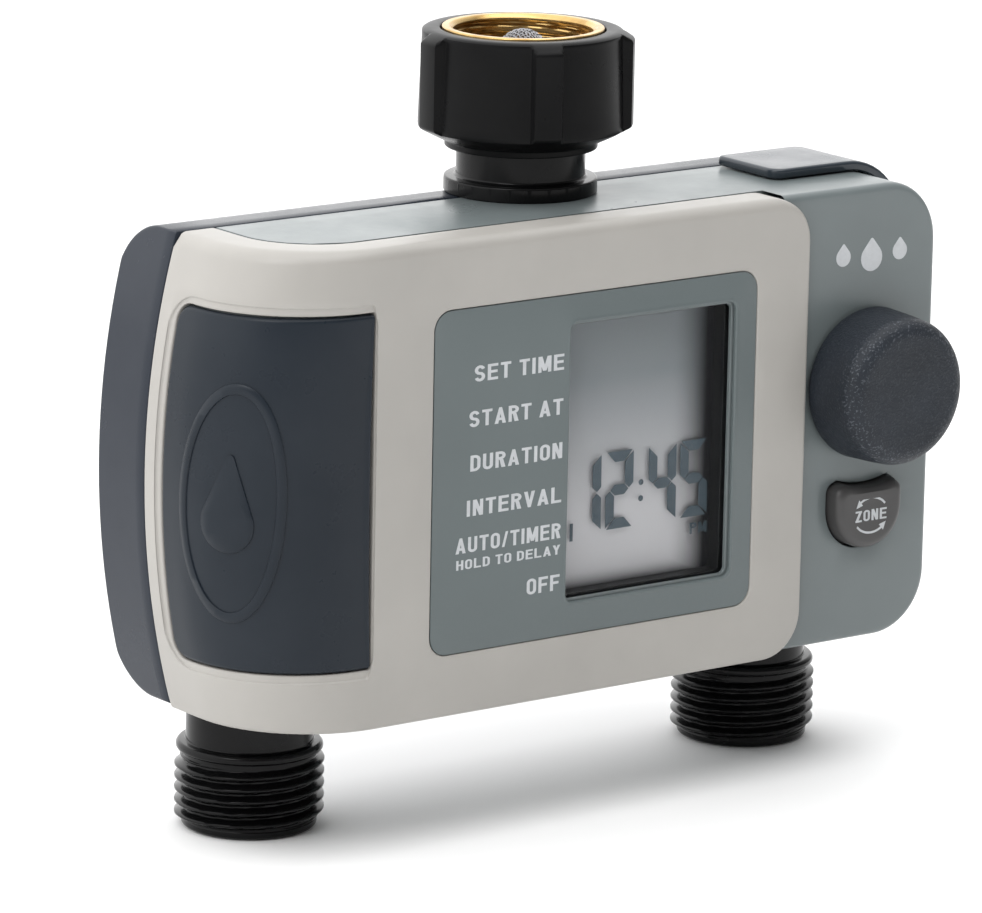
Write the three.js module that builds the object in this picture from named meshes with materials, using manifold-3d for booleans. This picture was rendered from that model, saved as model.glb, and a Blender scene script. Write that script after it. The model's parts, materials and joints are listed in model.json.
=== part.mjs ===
// Two-outlet watering timer for a hose tap, in millimetres, +Z up.
// The origin is the centre of the inlet mouth, where the timer hangs from the tap.
// The front faces -Y, and the two housing halves meet at the plane Y = 0,
// which also holds the axes of the inlet and of both outlets.

import * as THREE from 'three';
import { mergeVertices } from 'three/addons/utils/BufferGeometryUtils.js';
import Module from 'manifold-3d';

const wasm = await Module();
wasm.setup();

// ---------------------------------------------------------------- driving dimensions

const GAP = 0.3;                       // clearance between touching pieces
const WALL = 2.2;                      // housing wall

const TOP_Z = -30.1;                   // top of the housing
const BOTTOM_Z = -115.6;               // bottom of the grey and slate shells
const RIGHT_X = 73.8;                  // right end of the housing
const REAR_Y = 14.9;                   // back of the rear shell
const FACE_Y = -30.1;                  // front of the grey shell
const SHELL_CORNER_R = 11.5;           // right-hand corners seen from the front
const REAR_EDGE_R = 9.2;               // rounded edge along the back

const SIDE_X = -81.7;                  // left end at the middle of its bow
const BOW_R = 150.6;                   // bow of the left end, seen from the front
const BOW_Z = -73.8;                   // height of the bow's middle
const END_R = 22;                      // left front corner, seen from above
const END_CENTRE = [SIDE_X + END_R, -9.8];

const BEZEL_Y = END_CENTRE[1] - END_R; // front of the cream shell
const BEZEL_BOTTOM_Z = -116.2;
const BEZEL_RIGHT_X = 42.6;
const BEZEL_CORNER_R = 8.5;
const BEZEL_GROOVE_TOP_R = 5.4;        // the grey shell leaves a small wedge open at this corner
const BEZEL_WALL = 1.9;
const BEZEL_WRAP = 8;                  // how far the cream shell reaches over the top
const BEZEL_EDGE_R = 2.2;

const COVER = { right: -54.4, back: -5, top: -41.2, bottom: -105.2, cornerR: 4.5 };
const PANEL = { left: -41.8, right: 30.2, top: -42.6, bottom: -104.8, cornerR: 3.5 };
const WINDOW = { left: -12, right: 25.4, top: -47.8, bottom: -98.9, cornerR: 1.6 };
const DIAL = { x: 57.7, z: -66.75, baseR: 14.2, frontR: 13.7, edgeR: 3, baseY: -30.9, frontY: -43 };
const BUTTON = { x: 57.4, z: -90, halfWidth: 7.75, frontY: -33.4, topArcR: 19.4 };
const BUTTON_BACK_Y = -27.3;           // the button's flange starts here, behind the front wall

const INLET = { neckR: 11.75, flangeR: 14, insertR: 14.7, threadMinorR: 12.6, threadMajorR: 13.5 };
const NUT = { topR: 18.3, bottomR: 18.8, lobeR: 20.3, lobes: 5, lobeHalfAngle: 7.3, lobeAngle: 247 };
const OUTLET_X = [-58.3, 55];
const OUTLET_NAMES = ['left', 'right'];
const OUTLET = { neckR: 11.5, ringR: 13.25, crestR: 13.495, rootR: 12.1, collarR: 12.2, boreR: 8.6,
  endZ: -140 };
const HOSE_PITCH = 25.4 / 11.5;        // garden hose thread, 11.5 turns to the inch
const FIRST_CREST_Z = -128.6;
const CRESTS = 5;

const CELL = { r: 7.25, length: 50.2, nubR: 2.8, nub: 1.2 };
const CELL_AXES = [[-69.7, -11.6], [-58.6, -21.9]];
const BAY = { top: -45.5, bottom: -100.5 };

const BOARD = { left: -45, right: 65.2, top: -41.5, bottom: -101, front: -22.6, back: -21 };
const BOARD_SCREWS = [[-40.5, -46], [-40.5, -96.5], [60.5, -46], [38, -96.5]];
const REAR_SCREWS = [[-67, -38], [-23, -37.6], [23, -37.6], [65.4, -38], [-73.4, -106], [69.4, -102.6]];

const SUPPLY_Z = -106.8;               // supply pipe between the two valves
const CHAMBER = { r: 10.4, innerR: 8.8, floorZ: -110.2, rimZ: -102, bottomZ: -111.6 };
const SEAT = { r: 5.2, boreR: 4, rimZ: -103.4 };
const PLUNGER_TRAVEL = 1.5;
const SOLENOID = { r: 6.8, boreR: 3.4, bottomZ: -96.6, topZ: -72 };

const FINE = 30;                       // sides of large round pieces
const MEDIUM = 18;
const COARSE = 8;

// ---------------------------------------------------------------- shape helpers

// Manifold solid of a closed three.js geometry, with its faces turned outwards.
function solid(geometry) {
  const bare = geometry.clone();
  bare.deleteAttribute('normal');
  bare.deleteAttribute('uv');
  const merged = mergeVertices(bare, 1e-4);
  const positions = merged.attributes.position.array;
  const faces = [];
  let volume = 0;
  const a = new THREE.Vector3();
  const b = new THREE.Vector3();
  const c = new THREE.Vector3();
  for (let i = 0; i < merged.index.count; i += 3) {
    const face = [merged.index.getX(i), merged.index.getX(i + 1), merged.index.getX(i + 2)];
    if (face[0] === face[1] || face[1] === face[2] || face[0] === face[2]) continue;
    a.fromArray(positions, face[0] * 3);
    b.fromArray(positions, face[1] * 3);
    c.fromArray(positions, face[2] * 3);
    volume += a.dot(b.cross(c));
    faces.push(face);
  }
  const ordered = volume < 0 ? faces.map(([i, j, k]) => [i, k, j]) : faces;
  const mesh = new wasm.Mesh({
    numProp: 3,
    vertProperties: new Float32Array(positions),
    triVerts: new Uint32Array(ordered.flat()),
  });
  return new wasm.Manifold(mesh);
}

// three.js geometry of a Manifold solid.
function geometryOf(manifold) {
  const mesh = manifold.getMesh();
  const geometry = new THREE.BufferGeometry();
  geometry.setAttribute('position', new THREE.BufferAttribute(new Float32Array(mesh.vertProperties), 3));
  geometry.setIndex(new THREE.BufferAttribute(new Uint32Array(mesh.triVerts), 1));
  geometry.computeVertexNormals();
  return geometry;
}

const joined = (solids) => solids.reduce((sum, piece) => sum.add(piece));
const cut = (body, tools) => tools.reduce((rest, tool) => rest.subtract(tool), body);

function box(x, y, z) {
  const geometry = new THREE.BoxGeometry(x[1] - x[0], y[1] - y[0], z[1] - z[0]);
  geometry.translate((x[0] + x[1]) / 2, (y[0] + y[1]) / 2, (z[0] + z[1]) / 2);
  return solid(geometry);
}

// A shape in the XY plane, raised from low to high.
function extrudeZ(shape, low, high, segments = 12, steps = 1) {
  const options = { depth: high - low, bevelEnabled: false, curveSegments: segments, steps };
  return new THREE.ExtrudeGeometry(shape, options).translate(0, 0, low);
}

// A shape drawn in X and Z, pushed back along Y from low to high.
function extrudeY(shape, low, high, segments = 12) {
  const options = { depth: high - low, bevelEnabled: false, curveSegments: segments };
  return solid(new THREE.ExtrudeGeometry(shape, options).rotateX(Math.PI / 2).translate(0, high, 0));
}

// A shape drawn in Y and Z, pushed along X from low to high.
function extrudeX(shape, low, high, segments = 12) {
  const options = { depth: high - low, bevelEnabled: false, curveSegments: segments };
  const turn = new THREE.Matrix4().makeBasis(
    new THREE.Vector3(0, 1, 0), new THREE.Vector3(0, 0, 1), new THREE.Vector3(1, 0, 0));
  return solid(new THREE.ExtrudeGeometry(shape, options).applyMatrix4(turn).translate(low, 0, 0));
}

// A profile of [radius, height] points turned about the Z axis through (x, y).
function lathe(profile, x = 0, y = 0, sides = MEDIUM) {
  const points = profile.map(([r, z]) => new THREE.Vector2(r, z));
  return solid(new THREE.LatheGeometry(points, sides).rotateX(Math.PI / 2).translate(x, y, 0));
}

// A closed ring section between two radii and two heights, about the Z axis.
function ring(innerR, outerR, low, high, x = 0, y = 0, sides = MEDIUM) {
  const profile = [[innerR, low], [outerR, low], [outerR, high], [innerR, high], [innerR, low]];
  return lathe(profile, x, y, sides);
}

function rod(r, low, high, x = 0, y = 0, sides = MEDIUM) {
  return lathe([[0, low], [r, low], [r, high], [0, high]], x, y, sides);
}

// A profile of [radius, y] points turned about the line along Y through (x, z).
function latheY(profile, x, z, sides = MEDIUM) {
  const points = profile.map(([r, y]) => new THREE.Vector2(r, y));
  return solid(new THREE.LatheGeometry(points, sides).translate(x, 0, z));
}

function rodY(r, low, high, x, z, sides = MEDIUM) {
  return latheY([[0, low], [r, low], [r, high], [0, high]], x, z, sides);
}

function rodX(r, low, high, z, sides = MEDIUM) {
  const geometry = new THREE.CylinderGeometry(r, r, high - low, sides);
  return solid(geometry.rotateZ(Math.PI / 2).translate((low + high) / 2, 0, z));
}

// Rectangle with rounded corners, in the order left-top, right-top, right-bottom, left-bottom.
function roundedRectangle(left, right, bottom, top, radii) {
  const [lt, rt, rb, lb] = Array.isArray(radii) ? radii : [radii, radii, radii, radii];
  const shape = new THREE.Shape();
  shape.moveTo(left + lb, bottom);
  shape.lineTo(right - rb, bottom);
  if (rb) shape.absarc(right - rb, bottom + rb, rb, -Math.PI / 2, 0);
  shape.lineTo(right, top - rt);
  if (rt) shape.absarc(right - rt, top - rt, rt, 0, Math.PI / 2);
  shape.lineTo(left + lt, top);
  if (lt) shape.absarc(left + lt, top - lt, lt, Math.PI / 2, Math.PI);
  shape.lineTo(left, bottom + lb);
  if (lb) shape.absarc(left + lb, bottom + lb, lb, Math.PI, Math.PI * 1.5);
  return shape;
}

const framed = ({ left, right, bottom, top, cornerR }, grow = 0) => roundedRectangle(
  left - grow, right + grow, bottom - grow, top + grow, Math.max(cornerR + grow, 0.2));

// How far the bowed left end stands back from its middle, at height z.
const bowAt = (z) => BOW_R - Math.sqrt(BOW_R ** 2 - (z - BOW_Z) ** 2);

// The front half of the body: flat front, round left front corner, left end bowed
// in height. inset moves the wall inwards; front may be set apart from the corner.
function frontEnvelope({ inset = 0, front = END_CENTRE[1] - END_R + inset, top, bottom, right, back = 4 }) {
  const radius = END_R - inset;
  const shape = new THREE.Shape();
  shape.moveTo(right, back);
  shape.lineTo(END_CENTRE[0] - radius, back);
  shape.lineTo(END_CENTRE[0] - radius, END_CENTRE[1]);
  const turn = Math.asin(Math.min(1, (END_CENTRE[1] - front) / radius));
  shape.absarc(END_CENTRE[0], END_CENTRE[1], radius, Math.PI, Math.PI + turn);
  shape.lineTo(right, front);
  const geometry = extrudeZ(shape, bottom, top, 4, 8);
  const position = geometry.attributes.position;
  for (let i = 0; i < position.count; i++) {
    if (position.getX(i) < 0) position.setX(i, position.getX(i) + bowAt(position.getZ(i)));
  }
  return solid(geometry);
}

// Outline of the rear shell seen from the front, with the bow on the left.
function bowedOutline(inset, bottom = BOTTOM_Z) {
  const radius = SHELL_CORNER_R - inset;
  const right = RIGHT_X - inset;
  const low = bottom + inset;
  const high = TOP_Z - inset;
  const bow = BOW_R - inset;
  const centreX = SIDE_X + BOW_R;
  const angle = (z) => Math.asin((z - BOW_Z) / bow);
  const shape = new THREE.Shape();
  shape.absarc(centreX, BOW_Z, bow, Math.PI - angle(high), Math.PI - angle(low));
  shape.absarc(right - radius, low + radius, radius, -Math.PI / 2, 0);
  shape.absarc(right - radius, high - radius, radius, 0, Math.PI / 2);
  return shape;
}

// Keeps the right-hand corners round when seen from the front.
function cornerMask(right, bottom, top, topRadius, bottomRadius = topRadius) {
  const outline = roundedRectangle(-100, right, bottom, top, [0, topRadius, bottomRadius, 0]);
  return extrudeY(outline, -60, 40, 5);
}

// ---------------------------------------------------------------- materials

const plastic = (color, roughness) => new THREE.MeshStandardMaterial({ color, roughness, metalness: 0 });
const metal = (color, roughness) => new THREE.MeshStandardMaterial({ color, roughness, metalness: 1 });

const MATERIALS = {
  cream: plastic('#bdb8ae', 0.45),
  grey: plastic('#6f7a7e', 0.45),
  slate: plastic('#3b444c', 0.55),
  rearSlate: plastic('#4f5a60', 0.5),
  panel: plastic('#6c777b', 0.6),
  knob: plastic('#3f464d', 0.75),
  button: plastic('#4f4d4d', 0.6),
  black: plastic('#1d1d1f', 0.35),
  brass: metal('#c99a3f', 0.25),
  steel: metal('#b9bcc0', 0.3),
  rubber: plastic('#26272a', 0.9),
  window: new THREE.MeshStandardMaterial({
    color: '#cfd6d8', roughness: 0.1, transparent: true, opacity: 0.35 }),
  display: plastic('#8f9698', 0.3),
  board: plastic('#2f6b45', 0.5),
  white: plastic('#d8d8d4', 0.6),
  cell: metal('#a08a50', 0.4),
  coil: plastic('#2c2f38', 0.4),
  silicone: plastic('#8d9092', 0.8),
};

const timer = new THREE.Group();

function add(name, manifold, material) {
  const mesh = new THREE.Mesh(geometryOf(manifold), MATERIALS[material]);
  mesh.name = name;
  timer.add(mesh);
}

// ---------------------------------------------------------------- shells

// The opening under the battery cover, grown or shrunk by grow on every side.
function coverOpening(grow, right = COVER.right + grow) {
  const outline = roundedRectangle(-60, COVER.back + grow, COVER.bottom - grow, COVER.top + grow,
    [0, COVER.cornerR, COVER.cornerR, 0]);
  return extrudeX(outline, -100, right, 5);
}

// The front half of the body at another inset, a little taller than the body.
const tallEnvelope = (inset) => frontEnvelope({
  inset, top: TOP_Z + 1, bottom: BEZEL_BOTTOM_Z - 1, right: 80 });

// Space taken by the cream shell; grow thickens it on every side. topR rounds its top right corner.
function bezelBlank(grow, topR) {
  const outer = frontEnvelope({
    inset: -grow, top: TOP_Z + grow, bottom: BEZEL_BOTTOM_Z - grow, right: 60, back: 0 });
  const mask = cornerMask(
    BEZEL_RIGHT_X + grow, BEZEL_BOTTOM_Z - grow, TOP_Z + grow, topR, BEZEL_CORNER_R + grow);
  const inside = frontEnvelope({
    inset: BEZEL_WALL + grow, top: TOP_Z - BEZEL_WALL - grow,
    bottom: BEZEL_BOTTOM_Z + BEZEL_WALL + grow, right: 80 });
  return outer.intersect(mask).subtract(inside).subtract(tallEnvelope(BEZEL_WRAP + grow));
}

function frontBezel() {
  const coverStep = coverOpening(1).subtract(tallEnvelope(0.8));
  const panelRecess = extrudeY(framed(PANEL, 0.15), BEZEL_Y - 1, BEZEL_Y + 0.75, 3);
  const windowHole = extrudeY(framed(WINDOW), BEZEL_Y - 1, BEZEL_Y + 4, 3);
  const lensRebate = extrudeY(framed(WINDOW, 1.3), BEZEL_Y + 0.7, BEZEL_Y + 4, 3);
  return cut(bezelBlank(0, BEZEL_CORNER_R), [
    coverStep, coverOpening(GAP), panelRecess, windowHole, lensRebate, ...fittingHoles()]);
}

function frontHousing() {
  const outer = frontEnvelope({ front: FACE_Y, top: TOP_Z, bottom: BOTTOM_Z, right: RIGHT_X, back: 0 })
    .intersect(cornerMask(RIGHT_X, BOTTOM_Z, TOP_Z, SHELL_CORNER_R));
  const deepCavity = frontEnvelope({
    inset: BEZEL_WRAP + WALL, top: TOP_Z - WALL, bottom: BOTTOM_Z + WALL, right: RIGHT_X - WALL });
  const fullCavity = frontEnvelope({
    inset: 4.2, top: TOP_Z - 4.3, bottom: BOTTOM_Z + 4.9, right: RIGHT_X - WALL });
  const cavity = deepCavity.add(fullCavity)
    .intersect(cornerMask(RIGHT_X - WALL, -140, 0, 0.01))
    .intersect(cornerMask(RIGHT_X - WALL, BOTTOM_Z + WALL, TOP_Z - WALL, SHELL_CORNER_R - WALL));
  const screwPosts = REAR_SCREWS.map(([x, z]) => rodY(3.2, -40, 0, x, z, COARSE));
  const boardPosts = BOARD_SCREWS.map(([x, z]) => rodY(2.8, -40, BOARD.front - GAP, x, z, COARSE));
  const posts = joined([...screwPosts, ...boardPosts]).intersect(outer);
  const pilotHoles = [
    ...REAR_SCREWS.map(([x, z]) => rodY(1.6, -14, 2, x, z, COARSE)),
    ...BOARD_SCREWS.map(([x, z]) => rodY(1.25, BOARD.front - 4.8, 0, x, z, COARSE)),
  ];
  const displayHole = extrudeY(framed(WINDOW, 5), -40, FACE_Y + 4, 1);
  const shaftHole = rodY(4, -40, -20, DIAL.x, DIAL.z);
  const buttonHole = extrudeY(shieldOutline(0.35), -40, FACE_Y + 4, 7);
  const bay = box([-100, -51.4], [-60, -6], [BAY.bottom, BAY.top]);
  const batteryHole = coverOpening(-1.5, -51.4).intersect(bay);
  return cut(outer.subtract(cavity).add(posts), [
    bezelBlank(GAP, BEZEL_GROOVE_TOP_R), ...pilotHoles, displayHole, shaftHole, buttonHole, batteryHole,
    ...fittingHoles()]);
}

function rearHousing() {
  const shellBlock = (inset, back) => extrudeY(bowedOutline(inset), inset > 0 ? -10 : GAP, back, 5);
  const sideProfile = (inset) => {
    const r = REAR_EDGE_R - inset;
    return extrudeX(roundedRectangle(-12, REAR_Y - inset, BOTTOM_Z + inset, TOP_Z - inset, [0, r, r, 0]),
      -120, 120, 4);
  };
  const outer = shellBlock(0, REAR_Y).intersect(sideProfile(0));
  const cavity = shellBlock(WALL, REAR_Y - WALL).intersect(sideProfile(WALL));
  const posts = joined(REAR_SCREWS.map(([x, z]) => rodY(3.4, GAP, 20, x, z, COARSE))).intersect(outer);
  const screwHoles = REAR_SCREWS.flatMap(([x, z]) => [
    rodY(1.8, -2, 20, x, z, COARSE),
    rodY(3.5, REAR_Y - 3.2, 20, x, z, COARSE),
  ]);
  return cut(outer.subtract(cavity).add(posts), [...screwHoles, ...fittingHoles()]);
}

// Round openings in the top and bottom walls, half in each shell, that clasp the fittings.
function fittingHoles() {
  return [
    rod(INLET.neckR + GAP, -40, -20, 0, 0, FINE),
    ...OUTLET_X.map((x) => rod(OUTLET.neckR + GAP, -125, -108, x, 0, FINE)),
  ];
}

function batteryCover() {
  const skin = tallEnvelope(0.25).subtract(tallEnvelope(1.85));
  const lip = extrudeY(roundedRectangle(-56, -54.7, -104.2, -42.2, 0.4), -32.3, -29.9, 3);
  return skin.intersect(coverOpening(-0.2)).add(lip);
}

// Cap wrapped over the top right corner, standing on the shell.
function cornerCap() {
  const thickness = 1.8;
  const reach = 17.4;
  const centre = [RIGHT_X - SHELL_CORNER_R, TOP_Z - SHELL_CORNER_R];
  const inner = SHELL_CORNER_R + GAP;
  const outer = inner + thickness;
  const shape = new THREE.Shape();
  shape.moveTo(centre[0] - reach, centre[1] + inner);
  shape.absarc(centre[0], centre[1], inner, Math.PI / 2, 0, true);
  shape.lineTo(centre[0] + inner, centre[1] - reach);
  shape.lineTo(centre[0] + outer, centre[1] - reach);
  shape.absarc(centre[0], centre[1], outer, 0, Math.PI / 2);
  shape.lineTo(centre[0] - reach, centre[1] + outer);
  const band = extrudeY(shape, -18, -GAP, 8);
  const endR = 2.6;
  const topOutline = roundedRectangle(centre[0] - reach, 90, -18, -GAP, [endR, 0, 0, endR]);
  const topMask = solid(extrudeZ(topOutline, centre[1], -20, 4));
  const sideOutline = roundedRectangle(-18, -GAP, centre[1] - reach, -20, [0, 0, endR, endR]);
  const sideMask = extrudeX(sideOutline, centre[0], 90, 4);
  const low = box([centre[0], 90], [-30, 10], [-90, centre[1]]);
  const left = box([0, centre[0]], [-30, 10], [-60, -10]);
  return band.intersect(topMask.add(low)).intersect(sideMask.add(left));
}

// ---------------------------------------------------------------- front controls

// Outline of the push button: its top follows the dial, its foot is round.
function shieldOutline(grow) {
  const half = BUTTON.halfWidth + grow;
  const arcR = BUTTON.topArcR - grow;
  const cornerAngle = Math.asin((half - 0.8) / arcR);
  const shape = new THREE.Shape();
  shape.absarc(DIAL.x, DIAL.z, arcR, -Math.PI / 2 + cornerAngle, -Math.PI / 2 - cornerAngle, true);
  shape.lineTo(BUTTON.x - half, DIAL.z - arcR * Math.cos(cornerAngle) - 0.8);
  shape.absellipse(BUTTON.x, BUTTON.z, half, half, Math.PI, Math.PI * 2, false);
  shape.lineTo(BUTTON.x + half, DIAL.z - arcR * Math.cos(cornerAngle) - 0.8);
  return shape;
}

function stationButton() {
  const cap = extrudeY(shieldOutline(0), BUTTON.frontY, BUTTON_BACK_Y, 7);
  const flange = extrudeY(shieldOutline(1.1), BUTTON_BACK_Y, BUTTON_BACK_Y + 1, 7);
  return cap.add(flange);
}

function controlPanel() {
  const plate = extrudeY(framed(PANEL), BEZEL_Y + 0.05, BEZEL_Y + 0.45, 3);
  return plate.subtract(extrudeY(framed(WINDOW), -40, -20, 3));
}

function selectorKnob() {
  const rise = DIAL.baseR - DIAL.frontR;
  const bend = 5;
  const profile = [[3.2, -40.4], [3.2, DIAL.baseY], [5.4, DIAL.baseY], [5.4, -40.8],
    [DIAL.frontR - 2.4, -40.8], [DIAL.baseR - 1.8, DIAL.baseY], [DIAL.baseR, DIAL.baseY]];
  for (let i = 0; i <= bend; i++) {
    const angle = (i / bend) * Math.PI / 2;
    profile.push([
      DIAL.frontR - DIAL.edgeR + DIAL.edgeR * Math.cos(angle) + rise * 0.1 * (1 - i / bend),
      DIAL.frontY + DIAL.edgeR - DIAL.edgeR * Math.sin(angle),
    ]);
  }
  profile.push([0, DIAL.frontY], [0, -40.4], [3.2, -40.4]);
  return latheY(profile, DIAL.x, DIAL.z, FINE);
}

// ---------------------------------------------------------------- display and board

function circuitBoard() {
  const outline = roundedRectangle(BOARD.left, BOARD.right, BOARD.bottom, BOARD.top, 1.5);
  const plate = extrudeY(outline, BOARD.front, BOARD.back, 3);
  return cut(plate, BOARD_SCREWS.map(([x, z]) => rodY(1.6, -30, -10, x, z, COARSE)));
}

function displayFrame() {
  const outside = extrudeY(framed(WINDOW, 4.6), -27.3, BOARD.front - GAP, 2);
  const seat = extrudeY(framed(WINDOW, 2.5), -30, -26.1, 2);
  const hollow = extrudeY(framed(WINDOW, 0.8), -30, -20, 2);
  return cut(outside, [seat, hollow]);
}

function encoderBody() {
  const shell = box([DIAL.x - 6.5, DIAL.x + 6.5], [-27.6, BOARD.front - GAP], [DIAL.z - 6.5, DIAL.z + 6.5]);
  return shell.subtract(rodY(3.4, -40, BOARD.front - 0.9, DIAL.x, DIAL.z));
}

function screwAlongY(x, z, tipY, headY, side, headR, shankR) {
  const backY = headY + side * 1.6;
  const head = rodY(headR, Math.min(headY, backY), Math.max(headY, backY), x, z, COARSE);
  const shank = rodY(shankR, Math.min(tipY, headY), Math.max(tipY, headY), x, z, COARSE);
  return head.add(shank);
}

// ---------------------------------------------------------------- batteries

function batteryTray() {
  const plan = new THREE.Shape([[-84, -3], [-62, -3], [-49.9, -9], [-49.9, -34], [-84, -34]]
    .map(([x, y]) => new THREE.Vector2(x, y)));
  const outer = solid(extrudeZ(plan, BAY.bottom - 1.6, BAY.top + 1.6))
    .intersect(tallEnvelope(4.5))
    .subtract(rod(SOLENOID.r + 0.6, -140, 0, OUTLET_X[0]))
    .subtract(rod(CHAMBER.r + GAP, -140, SOLENOID.bottomZ + GAP, OUTLET_X[0]));
  const pockets = CELL_AXES.map(([x, y]) => rod(CELL.r + GAP, BAY.bottom, BAY.top, x, y));
  const mouth = new THREE.Shape([[-84, -15], [-73, -8], [-62, -16], [-54, -20], [-53.2, -34], [-84, -34]]
    .map(([x, y]) => new THREE.Vector2(x, y)));
  return cut(outer, [...pockets, solid(extrudeZ(mouth, BAY.bottom, BAY.top))]);
}

// A round cell standing on end; up says which way its button end points.
function roundCell([x, y], up) {
  const low = up ? BAY.bottom + 3.7 : BAY.bottom + 1.1;
  const high = low + CELL.length;
  const body = [[0, low], [CELL.r - 0.4, low], [CELL.r, low + 0.4], [CELL.r, high - CELL.nub - 0.4],
    [CELL.r - 0.4, high - CELL.nub], [CELL.nubR, high - CELL.nub], [CELL.nubR, high], [0, high]];
  const profile = up ? body : body.map(([r, z]) => [r, low + high - z]).reverse();
  return lathe(profile, x, y, 20);
}

// A wire wound into a spring about the Z axis.
function coilSpring(x, y, low, high, r, wireR, turns) {
  const points = [];
  const steps = turns * 8;
  for (let i = 0; i <= steps; i++) {
    const angle = (i / steps) * turns * Math.PI * 2;
    const height = low + wireR + (high - low - 2 * wireR) * (i / steps);
    points.push(new THREE.Vector3(x + r * Math.cos(angle), y + r * Math.sin(angle), height));
  }
  const section = new THREE.Shape();
  section.absarc(0, 0, wireR, 0, Math.PI * 2);
  const path = new THREE.CatmullRomCurve3(points);
  return solid(new THREE.ExtrudeGeometry(section, {
    steps, curveSegments: 2, extrudePath: path, bevelEnabled: false }));
}

// ---------------------------------------------------------------- inlet

// Outline of the nut with its grip lobes; reach scales the lobes' height.
function nutOutline(bodyR, lobeR) {
  const points = [];
  const degree = Math.PI / 180;
  const flank = 2.2;
  for (let lobe = 0; lobe < NUT.lobes; lobe++) {
    const middle = NUT.lobeAngle + lobe * 360 / NUT.lobes;
    const stations = [
      [-NUT.lobeHalfAngle - flank, bodyR], [-NUT.lobeHalfAngle, lobeR - 0.3],
      [-NUT.lobeHalfAngle + 2, lobeR],
      [0, lobeR], [NUT.lobeHalfAngle - 2, lobeR], [NUT.lobeHalfAngle, lobeR - 0.3],
      [NUT.lobeHalfAngle + flank, bodyR], [20, bodyR], [28, bodyR], [36, bodyR], [44, bodyR], [52, bodyR],
    ];
    for (const [offset, r] of stations) {
      const angle = (middle + offset) * degree;
      points.push(new THREE.Vector2(r * Math.cos(angle), r * Math.sin(angle)));
    }
  }
  return new THREE.Shape(points);
}

function inletNut() {
  const lobed = solid(extrudeZ(nutOutline(NUT.bottomR, NUT.lobeR), -20.5, -0.3));
  const turned = lathe([[0, -21.9], [13.8, -21.9], [13.8, -20.6], [14.6, -20.5], [20.4, -17.4],
    [20.4, -2.2], [17.6, -0.3], [0, -0.3]], 0, 0, FINE);
  const stub = ring(8, 13.8, -21.9, -20.3, 0, 0, FINE);
  const bore = lathe([[0, -16.9], [14, -16.9], [14, -11.5], [INLET.insertR + GAP, -11.4],
    [INLET.insertR + GAP, 1], [0, 1]], 0, 0, FINE);
  const neckHole = rod(INLET.neckR + GAP, -30, -10, 0, 0, FINE);
  return lobed.intersect(turned).add(stub).subtract(bore).subtract(neckHole);
}

// Brass ring with the female hose thread.
function threadInsert() {
  const profile = [[INLET.insertR, -11], [INLET.insertR, 0], [INLET.threadMajorR + 0.2, 0],
    [INLET.threadMinorR, -0.9]];
  const turns = 4;
  for (let i = 0; i < turns; i++) {
    const z = -0.9 - i * HOSE_PITCH;
    profile.push([INLET.threadMajorR, z - HOSE_PITCH / 2], [INLET.threadMinorR, z - HOSE_PITCH]);
  }
  profile.push([INLET.threadMinorR, -11], [INLET.insertR, -11]);
  return lathe(profile, 0, 0, 24);
}

// Thimble of wire mesh with a domed top, in the middle of the washer.
function inletFilter() {
  const wall = 0.45;
  const r = 4.9;
  const dome = (radius, count) => Array.from({ length: count + 1 }, (_, i) => {
    const angle = (i / count) * Math.PI / 2;
    return [radius * Math.cos(angle), -0.6 - r + radius * Math.sin(angle)];
  });
  const outside = dome(r, 5);
  const inside = dome(r - wall, 5).reverse();
  const profile = [[7.4, -12.4], [7.4, -11.8], [r + 0.3, -11.8], ...outside, ...inside,
    [r - wall + 0.3, -12.4], [7.4, -12.4]];
  return lathe(profile, 0, 0, 16);
}

// ---------------------------------------------------------------- water way

// Inlet stem, supply pipe and both valve chambers, one moulding.
function valveManifold() {
  const stem = lathe([[0, -112], [8.5, -112], [8.5, -36.5], [INLET.neckR, -34.5], [INLET.neckR, -29.8],
    [INLET.flangeR, -29.8], [INLET.flangeR, -27.7], [INLET.flangeR - 0.5, -27.3], [INLET.neckR, -27.3],
    [INLET.neckR, -16.6], [10.6, -16.6], [10.6, -14.6], [INLET.neckR, -14.6],
    [INLET.neckR, -14.1], [0, -14.1]], 0, 0, 24);
  const pipe = rodX(5, OUTLET_X[0] + 3, OUTLET_X[1] - 3, SUPPLY_Z, 14);
  const ears = box([-15, 15], [-9, 7], [-34.4, -32.7]);
  const chambers = OUTLET_X.map((x) => rod(CHAMBER.r, CHAMBER.bottomZ, CHAMBER.rimZ, x));
  const bores = [
    rod(8, -60, 0),
    rod(6, -110.4, -20),
    rodX(3.3, OUTLET_X[0], OUTLET_X[1], SUPPLY_Z, 20),
    ...OUTLET_X.map((x) => rod(CHAMBER.innerR, CHAMBER.floorZ, -90, x)),
  ];
  const body = cut(joined([stem, ears, pipe, ...chambers]), bores);
  const seats = OUTLET_X.map((x) => rod(SEAT.r, CHAMBER.floorZ - 0.5, SEAT.rimZ, x));
  const seatBores = OUTLET_X.map((x) => rod(SEAT.boreR, -120, -90, x));
  return cut(joined([body, ...seats]), seatBores);
}

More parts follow.
